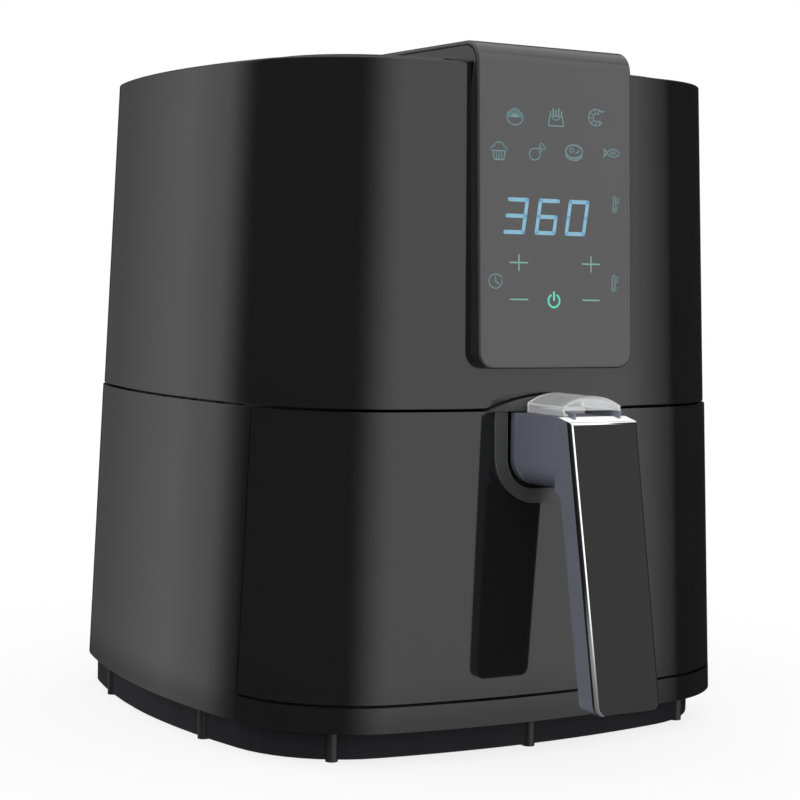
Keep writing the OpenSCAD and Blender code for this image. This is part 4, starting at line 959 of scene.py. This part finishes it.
def makeHandleShell():
    top, low, neckLow = handle["top"], handle["low"], handle["neckLow"]
    centreZ = neckLow - handle["blend"]
    centreY = gripFaceAt(centreZ) + handle["shellDepth"] + handle["blend"] / math.cos(handle["lean"])
    turn = math.pi / 2 - handle["lean"]
    blend = arcPoints(centreY, centreZ, handle["blend"], math.pi / 2, turn, handle["blendSteps"])
    side = [
        (gripFaceAt(top) + handle["faceDepth"], top),
        (centreY - 2, top),
        *blend,
        (gripFaceAt(low) + handle["shellDepth"], low),
        (gripFaceAt(low) + handle["faceDepth"], low),
    ]
    bm = sideSolid(side, handle["half"])
    chamferFoot(bm)
    taperGrip(bm)
    neck = uPoints(handle["half"], neckLow, handle["neckRadius"], top, 10)
    bm = combine(bm, frontSolid(neck, centreY - 3, handle["neckBack"]), "UNION")
    root = uPoints(handle["rootHalf"], neckLow, handle["rootRadius"], top, 10)
    bm = combine(bm, frontSolid(root, handle["rootFront"], handle["neckBack"]), "UNION")
    half, cavityFront = handle["cavityHalf"], gripFaceAt(top) + handle["shellDepth"] + 3
    cavity = boxSolid(-half, half, cavityFront, 0, handle["cavityLow"], handle["cavityHigh"])
    bm = carve(bm, cavity)
    bm = carve(bm, browSolid())
    half = button["half"] + button["slack"]
    front, back = button["front"] - button["slack"], button["back"] + button["slack"]
    bm = carve(bm, boxSolid(-half, half, front, back, handle["cavityHigh"] - 5, top + 9))
    # the sloping top faces are painted "ledge" to carry the painted highlight on the handle's top
    ledge = bm.faces.layers.float.new("ledge")
    for f in bm.faces:
        if 0.9 < f.normal.z < 0.999 and f.calc_center_median().z > top - 3:
            f[ledge] = 1.0
    roundEdges(
        bm,
        handle["rounding"],
        3,
        lambda e: e.verts[0].co.y < handle["roundedTo"] and middle(e).z < top + 1,
    )
    for side in (-1, 1):
        for inner, outer, base, crest in guard["rail"]:
            x0, x1 = sorted((side * inner, side * outer))
            addBox(bm, x0, x1, guard["railFront"], guard["railBack"], base, crest)
    finishPiece(bm, "handleShell", "drawer", "handle_grey", ["handle_shell"])


face = {"rounding": 1.3, "gap": 0.15}


def makeHandleFace():
    top, low = handle["top"], handle["low"]
    depth = handle["faceDepth"] - face["gap"]
    side = [
        (gripFaceAt(top), top),
        (gripFaceAt(top) + depth, top),
        (gripFaceAt(low) + depth, low),
        (gripFaceAt(low), low),
    ]
    bm = sideSolid(side, handle["half"])
    chamferFoot(bm)
    taperGrip(bm)
    bm = carve(bm, browSolid())
    rim = bm.faces.layers.float.new("rim")
    ledge = bm.faces.layers.float.new("ledge")
    frontEdges = [
        e
        for e in bm.edges
        if e.calc_face_angle(0) > sharpAngle
        and all(abs(v.co.y - gripFaceAt(v.co.z)) < 0.05 for v in e.verts)
    ]
    # the left and top bevels are painted "rim" to carry the painted edge highlight
    for f in bevelEdges(bm, frontEdges, face["rounding"], 5):
        f[rim] = float(f.normal.x < -0.1 or f.normal.z > 0.5)
    # the upward faces are painted "ledge" to carry the painted highlight on the top
    for f in bm.faces:
        f[ledge] = float(f.normal.z > 0.9)
    finishPiece(bm, "handleFace", "drawer", "handle_face", ["handle_face"])


shoulder = {
    "front": -136.8,
    "back": -121.4,
    "half": 33.4,
    "radius": 83.4,
    "low": 153.15,
    "rounding": 0.7,
    "bracket": {"half": 14, "front": -130, "low": 147.65, "high": 154},
}


def makeHandleShoulder():
    reach = math.asin(shoulder["half"] / shoulder["radius"])
    start, turn = math.pi / 2 - reach, 2 * reach
    arch = arcPoints(0, archCentre, shoulder["radius"], start, turn, upper["archSteps"])
    ends = [(-shoulder["half"], shoulder["low"]), (shoulder["half"], shoulder["low"])]
    bm = frontSolid([*arch, *ends], shoulder["back"], shoulder["front"])
    roundEdges(bm, shoulder["rounding"], 3, lambda e: middle(e).y < shoulder["front"] + 0.1)
    part = shoulder["bracket"]
    half = part["half"]
    bracket = boxSolid(-half, half, part["front"], shoulder["back"], part["low"], part["high"])
    bm = combine(bm, bracket, "UNION")
    piece = finishPiece(bm, "handleShoulder", "drawer", "satin_black", ["handle_shoulder"])
    piece.data.materials[0] = collarFinish.material


guard = {
    "half": 15.2,
    "low": 152.9,
    "crown": 161.4,
    "side": 157.0,
    "front": -166.25,
    "back": -139.25,
    "wall": 1.2,
    "lip": 12.7,
    "slit": 155.2,  # the front wall ends above the rails
    "rail": [(11.4, 12.4, 151.6, 154.2), (11.4, 13.2, 154.2, 154.9)],
    "railFront": -170.25,
    "railBack": -139.75,
    "steps": 24,
    "rounding": 0.55,
}


def domePoints(shrink):  # the guard's arched section, its flat foot left open
    rise = guard["crown"] - guard["side"]
    radius = bowRadius(guard["half"], rise)
    centre = guard["crown"] - radius
    half = guard["half"] - shrink
    reach = math.asin(half / (radius - shrink))
    return arcPoints(0, centre, radius - shrink, math.pi / 2 - reach, 2 * reach, guard["steps"])


def makeButtonGuard():
    half, low, wall = guard["half"], guard["low"], guard["wall"]
    bm = frontSolid([*domePoints(0), (-half, low), (half, low)], guard["back"], guard["front"])
    inner = [*domePoints(wall), (wall - half, low + 1), (half - wall, low + 1)]
    bm = carve(bm, frontSolid(inner, guard["back"] + 5, guard["front"] + wall))
    front, lip = guard["front"], guard["lip"]
    slot = boxSolid(-lip, lip, front - 5, guard["back"] + 5, low - 1, low + 2.4)
    bm = carve(bm, slot)
    slit = boxSolid(wall - half, half - wall, front - 5, front + 5, low + 1, guard["slit"])
    bm = carve(bm, slit)
    # the rounded edges are painted "rim" to carry the clear plastic's painted highlight
    rim = bm.faces.layers.float.new("rim")
    for f in roundEdges(bm, guard["rounding"], 3):
        f[rim] = 1.0
    finishPiece(bm, "buttonGuard", "guard", "clear_plastic", ["button_guard"])


def makeReleaseButton():
    half, front, back = button["half"], button["front"], button["back"]
    groove, flange, stem = button["groove"], button["flange"], button["stem"]
    bm = boxSolid(-half, half, front, back, button["low"], button["top"])
    roundEdges(bm, button["rounding"], 4, lambda e: middle(e).z > button["top"] - 4)
    margin, length = groove["margin"], 2 * (half - groove["margin"])
    for i in range(groove["count"]):
        y = front + margin + i * (back - front - 2 * margin) / (groove["count"] - 1)
        bm = carve(bm, roundRod(groove["radius"], (0, y, button["top"]), length, "Y", 16))
    side, rear = half + flange["side"], back + flange["back"]
    plate = boxSolid(-side, side, front - flange["side"], rear, flange["low"], flange["high"])
    bm = combine(bm, plate, "UNION")
    stemPlace = (0, (front + back) / 2, stem["middle"])
    bm = combine(bm, roundRod(stem["radius"], stemPlace, stem["length"], None, 40), "UNION")
    finishPiece(bm, "releaseButton", "button", "button", ["release_button"])


makeHandleCollar()
makeHandleShell()
makeHandleFace()
makeHandleShoulder()
makeButtonGuard()
makeReleaseButton()
print("handle made")


# what shows through the touch panel, in millimetres on its face
marks = {
    "proud": 0.04,
    "depth": 0.1,
    "line": 0.62,
    "digitHeight": 14.2,
    "digitWidth": 9.4,
    "digitStroke": 1.75,
    "digitSlant": 0.17,
    "digitBase": 59.6,
    "digitLeft": (-27.6, -11.2, 4.9),
}


def drawStroke(bm, points, width, closed=False):  # a round-ended line, in millimetres on the panel
    ends = list(points) + ([points[0]] if closed else [])
    for (x0, y0), (x1, y1) in zip(ends, ends[1:]):
        along = Vector((x1 - x0, y1 - y0, 0))
        turn = Matrix.Rotation(math.atan2(along.y, along.x), 4, "Z")
        size = Matrix.Diagonal((along.length, width, 1, 1))
        place = Matrix.Translation(((x0 + x1) / 2, (y0 + y1) / 2, 0))
        bmesh.ops.create_grid(bm, x_segments=1, y_segments=1, size=0.5, matrix=place @ turn @ size)
    for x, y in ends:
        spot = Matrix.Translation((x, y, 0))
        bmesh.ops.create_circle(bm, cap_ends=True, segments=12, radius=width / 2, matrix=spot)


def drawArc(bm, centre, radii, start, end, width, steps=18):  # angles in degrees, radii across and up
    angles = [math.radians(start + (end - start) * i / steps) for i in range(steps + 1)]
    points = [(centre[0] + radii[0] * math.cos(a), centre[1] + radii[1] * math.sin(a)) for a in angles]
    drawStroke(bm, points, width)


def layOnPanel(bm, name, finish):
    grown = bmesh.ops.extrude_face_region(bm, geom=bm.faces[:])["geom"]
    bmesh.ops.translate(bm, vec=(0, 0, marks["depth"]), verts=vertsOf(grown))
    lean = panel["lean"]
    for v in bm.verts:
        across, along, out = v.co
        out += marks["proud"] - marks["depth"]
        v.co.x = across
        v.co.y = panel["face"] + along * math.sin(lean) - out * math.cos(lean)
        v.co.z = panel["low"] + along * math.cos(lean) + out * math.sin(lean)
    bmesh.ops.recalc_face_normals(bm, faces=bm.faces)
    piece = finishPiece(bm, name, "housing", "touch_lens")
    piece.data.materials[0] = finish.material
    return piece


def glow(name, dim, bright, strength):  # a lit mark seen through the smoked panel
    made = Finish(name)
    cloud = made.noise(1.6, 3.0)
    made.feed("Base Color", made.mix(cloud, dim, bright))
    made.feed("Emission Color", made.mix(cloud, dim, bright))
    made.feed("Emission Strength", strength)
    made.feed("Roughness", 0.3 + cloud * 0.1)
    return made


digitInk = glow("digitInk", (0.1, 0.22, 0.3), (0.125, 0.26, 0.35), 0.8)
iconInk = glow("iconInk", (0.07, 0.13, 0.135), (0.095, 0.165, 0.172), 0.75)
signInk = glow("signInk", (0.08, 0.2, 0.16), (0.11, 0.25, 0.2), 0.75)
modeInk = glow("modeInk", (0.06, 0.4, 0.3), (0.08, 0.46, 0.34), 0.75)

segmentsOf = {"3": "abgcd", "6": "afgedc", "0": "abcdef"}


def drawDigit(bm, digit, left):
    width, height = marks["digitWidth"], marks["digitHeight"]
    half = height / 2
    ends = {
        "a": ((0, height), (width, height)),
        "b": ((width, height), (width, half)),
        "c": ((width, half), (width, 0)),
        "d": ((0, 0), (width, 0)),
        "e": ((0, half), (0, 0)),
        "f": ((0, height), (0, half)),
        "g": ((0, half), (width, half)),
    }
    for letter in segmentsOf[digit]:
        line = [(left + x + y * marks["digitSlant"], marks["digitBase"] + y) for x, y in ends[letter]]
        drawStroke(bm, line, marks["digitStroke"])


def makeDigits():
    bm = bmesh.new()
    for digit, left in zip("360", marks["digitLeft"]):
        drawDigit(bm, digit, left)
    layOnPanel(bm, "panelDigits", digitInk)


thin = 0.5  # width of the lines in the icons


def drawBowl(bm, x, y):
    drawArc(bm, (x, y), (4.2, 3.6), 180, 360, thin)
    drawStroke(bm, [(x - 4.2, y), (x + 4.2, y)], thin)
    for i, height in enumerate((0.8, 1.9, 2.5, 1.9, 0.8)):
        drawArc(bm, (x - 3 + 1.5 * i, y + height), (0.8, 0.8), 0, 360, 1.1, 8)
    drawStroke(bm, [(x - 2.4, y + 0.9), (x + 2.4, y + 0.9)], 1.4)


def drawFries(bm, x, y):
    carton = [(x - 3.4, y + 0.4), (x - 4, y - 3.8), (x + 4, y - 3.8), (x + 3.4, y + 0.4)]
    drawStroke(bm, carton, thin, True)
    for i, height in enumerate((2.4, 3.7, 3.1, 3.8, 2.6)):
        drawStroke(bm, [(x - 2.8 + 1.4 * i, y + 0.4), (x - 3.1 + 1.55 * i, y + height)], thin * 1.3)
    drawArc(bm, (x, y + 0.6), (2.2, 1.8), 200, 340, thin, 8)


def drawShrimp(bm, x, y):
    drawArc(bm, (x, y), (4.1, 3.7), 40, 320, thin, 22)
    drawArc(bm, (x + 0.6, y), (2.1, 1.8), 50, 310, thin, 16)
    for angle in range(70, 300, 38):
        a = math.radians(angle)
        inner = (x + 0.6 + 2.1 * math.cos(a), y + 1.8 * math.sin(a))
        outer = (x + 4.1 * math.cos(a), y + 3.7 * math.sin(a))
        drawStroke(bm, [inner, outer], thin * 0.8)
    drawStroke(bm, [(x + 3.1, y + 2.4), (x + 4.4, y + 3.2)], thin)
    drawStroke(bm, [(x + 3.1, y - 2.4), (x + 2, y - 1.4)], thin)


def drawCake(bm, x, y):
    drawStroke(bm, [(x - 3.2, y), (x - 2.4, y - 3.8), (x + 2.4, y - 3.8), (x + 3.2, y)], thin, True)
    for i in (-1, 0, 1):
        drawStroke(bm, [(x + 1.5 * i, y - 0.6), (x + 1.2 * i, y - 3.4)], thin * 0.8)
    drawArc(bm, (x - 2.9, y + 0.9), (1.2, 1.0), 80, 270, thin, 8)
    drawArc(bm, (x + 2.9, y + 0.9), (1.2, 1.0), -90, 100, thin, 8)
    drawArc(bm, (x, y + 1.9), (2.5, 1.9), 5, 175, thin, 12)


def drawDrumstick(bm, x, y):
    drawArc(bm, (x - 1.2, y - 1.2), (2.9, 2.6), 60, 390, thin, 20)
    drawStroke(bm, [(x + 0.3, y + 1.1), (x + 2.2, y + 1.9)], thin)
    drawStroke(bm, [(x + 1.4, y - 0.1), (x + 2.8, y + 1.3)], thin)
    drawArc(bm, (x + 2.4, y + 2.8), (0.9, 0.9), 20, 250, thin, 8)
    drawArc(bm, (x + 3.6, y + 1.9), (0.9, 0.9), -120, 120, thin, 8)


def drawSteak(bm, x, y):
    drawArc(bm, (x, y + 0.4), (4.5, 2.9), 0, 360, thin * 1.5, 22)
    drawArc(bm, (x, y - 0.6), (4.5, 2.9), 185, 355, thin * 1.3, 14)
    drawArc(bm, (x - 1.4, y + 0.9), (1.1, 0.9), 0, 360, thin, 10)
    drawStroke(bm, [(x + 0.8, y - 0.6), (x + 2.8, y + 0.8)], thin)


def drawFish(bm, x, y):
    drawArc(bm, (x + 0.8, y - 2.6), (4.2, 4.4), 38, 142, thin, 14)
    drawArc(bm, (x + 0.8, y + 2.6), (4.2, 4.4), 218, 322, thin, 14)
    drawStroke(bm, [(x - 2.5, y), (x - 4.5, y + 1.8), (x - 4, y), (x - 4.5, y - 1.8)], thin, True)
    for i in range(3):
        drawStroke(bm, [(x - 0.6 + i, y - 0.7), (x - 0.2 + i, y + 0.8)], thin * 0.8)


def drawThermometer(bm, x, y):
    drawArc(bm, (x, y - 2.4), (1.3, 1.3), 120, 420, thin, 14)
    drawStroke(bm, [(x - 0.7, y - 1.3), (x - 0.7, y + 2.6)], thin)
    drawStroke(bm, [(x + 0.7, y - 1.3), (x + 0.7, y + 2.6)], thin)
    drawArc(bm, (x, y + 2.6), (0.7, 0.8), 0, 180, thin, 8)
    drawArc(bm, (x, y - 2.4), (0.4, 0.4), 0, 360, thin, 8)
    for i in range(3):
        drawStroke(bm, [(x + 1.6, y + 0.4 + i), (x + 2.5, y + 0.4 + i)], thin * 0.8)


def drawClock(bm, x, y):
    drawArc(bm, (x, y), (3.4, 3.1), 60, 375, thin, 20)
    drawStroke(bm, [(x, y + 1.9), (x, y), (x + 1.7, y - 1.1)], thin)
    drawStroke(bm, [(x + 2.3, y + 2.7), (x + 3.3, y + 1.9)], thin)


icons = [  # what is drawn where, in millimetres across and up the panel
    (drawBowl, -22.2, 109.8),
    (drawFries, -0.4, 110.7),
    (drawShrimp, 21.4, 111.8),
    (drawCake, -30.6, 94.6),
    (drawDrumstick, -10.6, 95.2),
    (drawSteak, 9.3, 95.7),
    (drawFish, 30.2, 96.4),
    (drawThermometer, 31.6, 73.7),
    (drawThermometer, 30.9, 38.2),
    (drawClock, -32.7, 38.1),
]
signs = {"places": (-20.4, 18.4), "plus": 46.4, "minus": 30.3, "half": 4.6, "rise": 3.4}
modeMark = {"x": -1.8, "y": 29.9, "radii": (3.0, 2.9), "width": 0.9, "from": 125, "to": 415}


def makeIcons():
    bm = bmesh.new()
    for draw, x, y in icons:
        draw(bm, x, y)
    layOnPanel(bm, "panelIcons", iconInk)


def makeSigns():
    bm = bmesh.new()
    half, rise, plus, minus = signs["half"], signs["rise"], signs["plus"], signs["minus"]
    for x in signs["places"]:
        drawStroke(bm, [(x - half, plus), (x + half, plus)], marks["line"])
        drawStroke(bm, [(x, plus - rise), (x, plus + rise)], marks["line"])
        drawStroke(bm, [(x - half, minus), (x + half, minus)], marks["line"])
    layOnPanel(bm, "panelSigns", signInk)


def makeModeMark():
    bm = bmesh.new()
    x, y, width = modeMark["x"], modeMark["y"], modeMark["width"]
    drawArc(bm, (x, y), modeMark["radii"], modeMark["from"], modeMark["to"], width)
    drawStroke(bm, [(x, y + 0.3), (x, y + 3.7)], width)
    layOnPanel(bm, "panelMode", modeInk)


makeTouchLens()
makeDigits()
makeIcons()
makeSigns()
makeModeMark()
print("touch panel made")
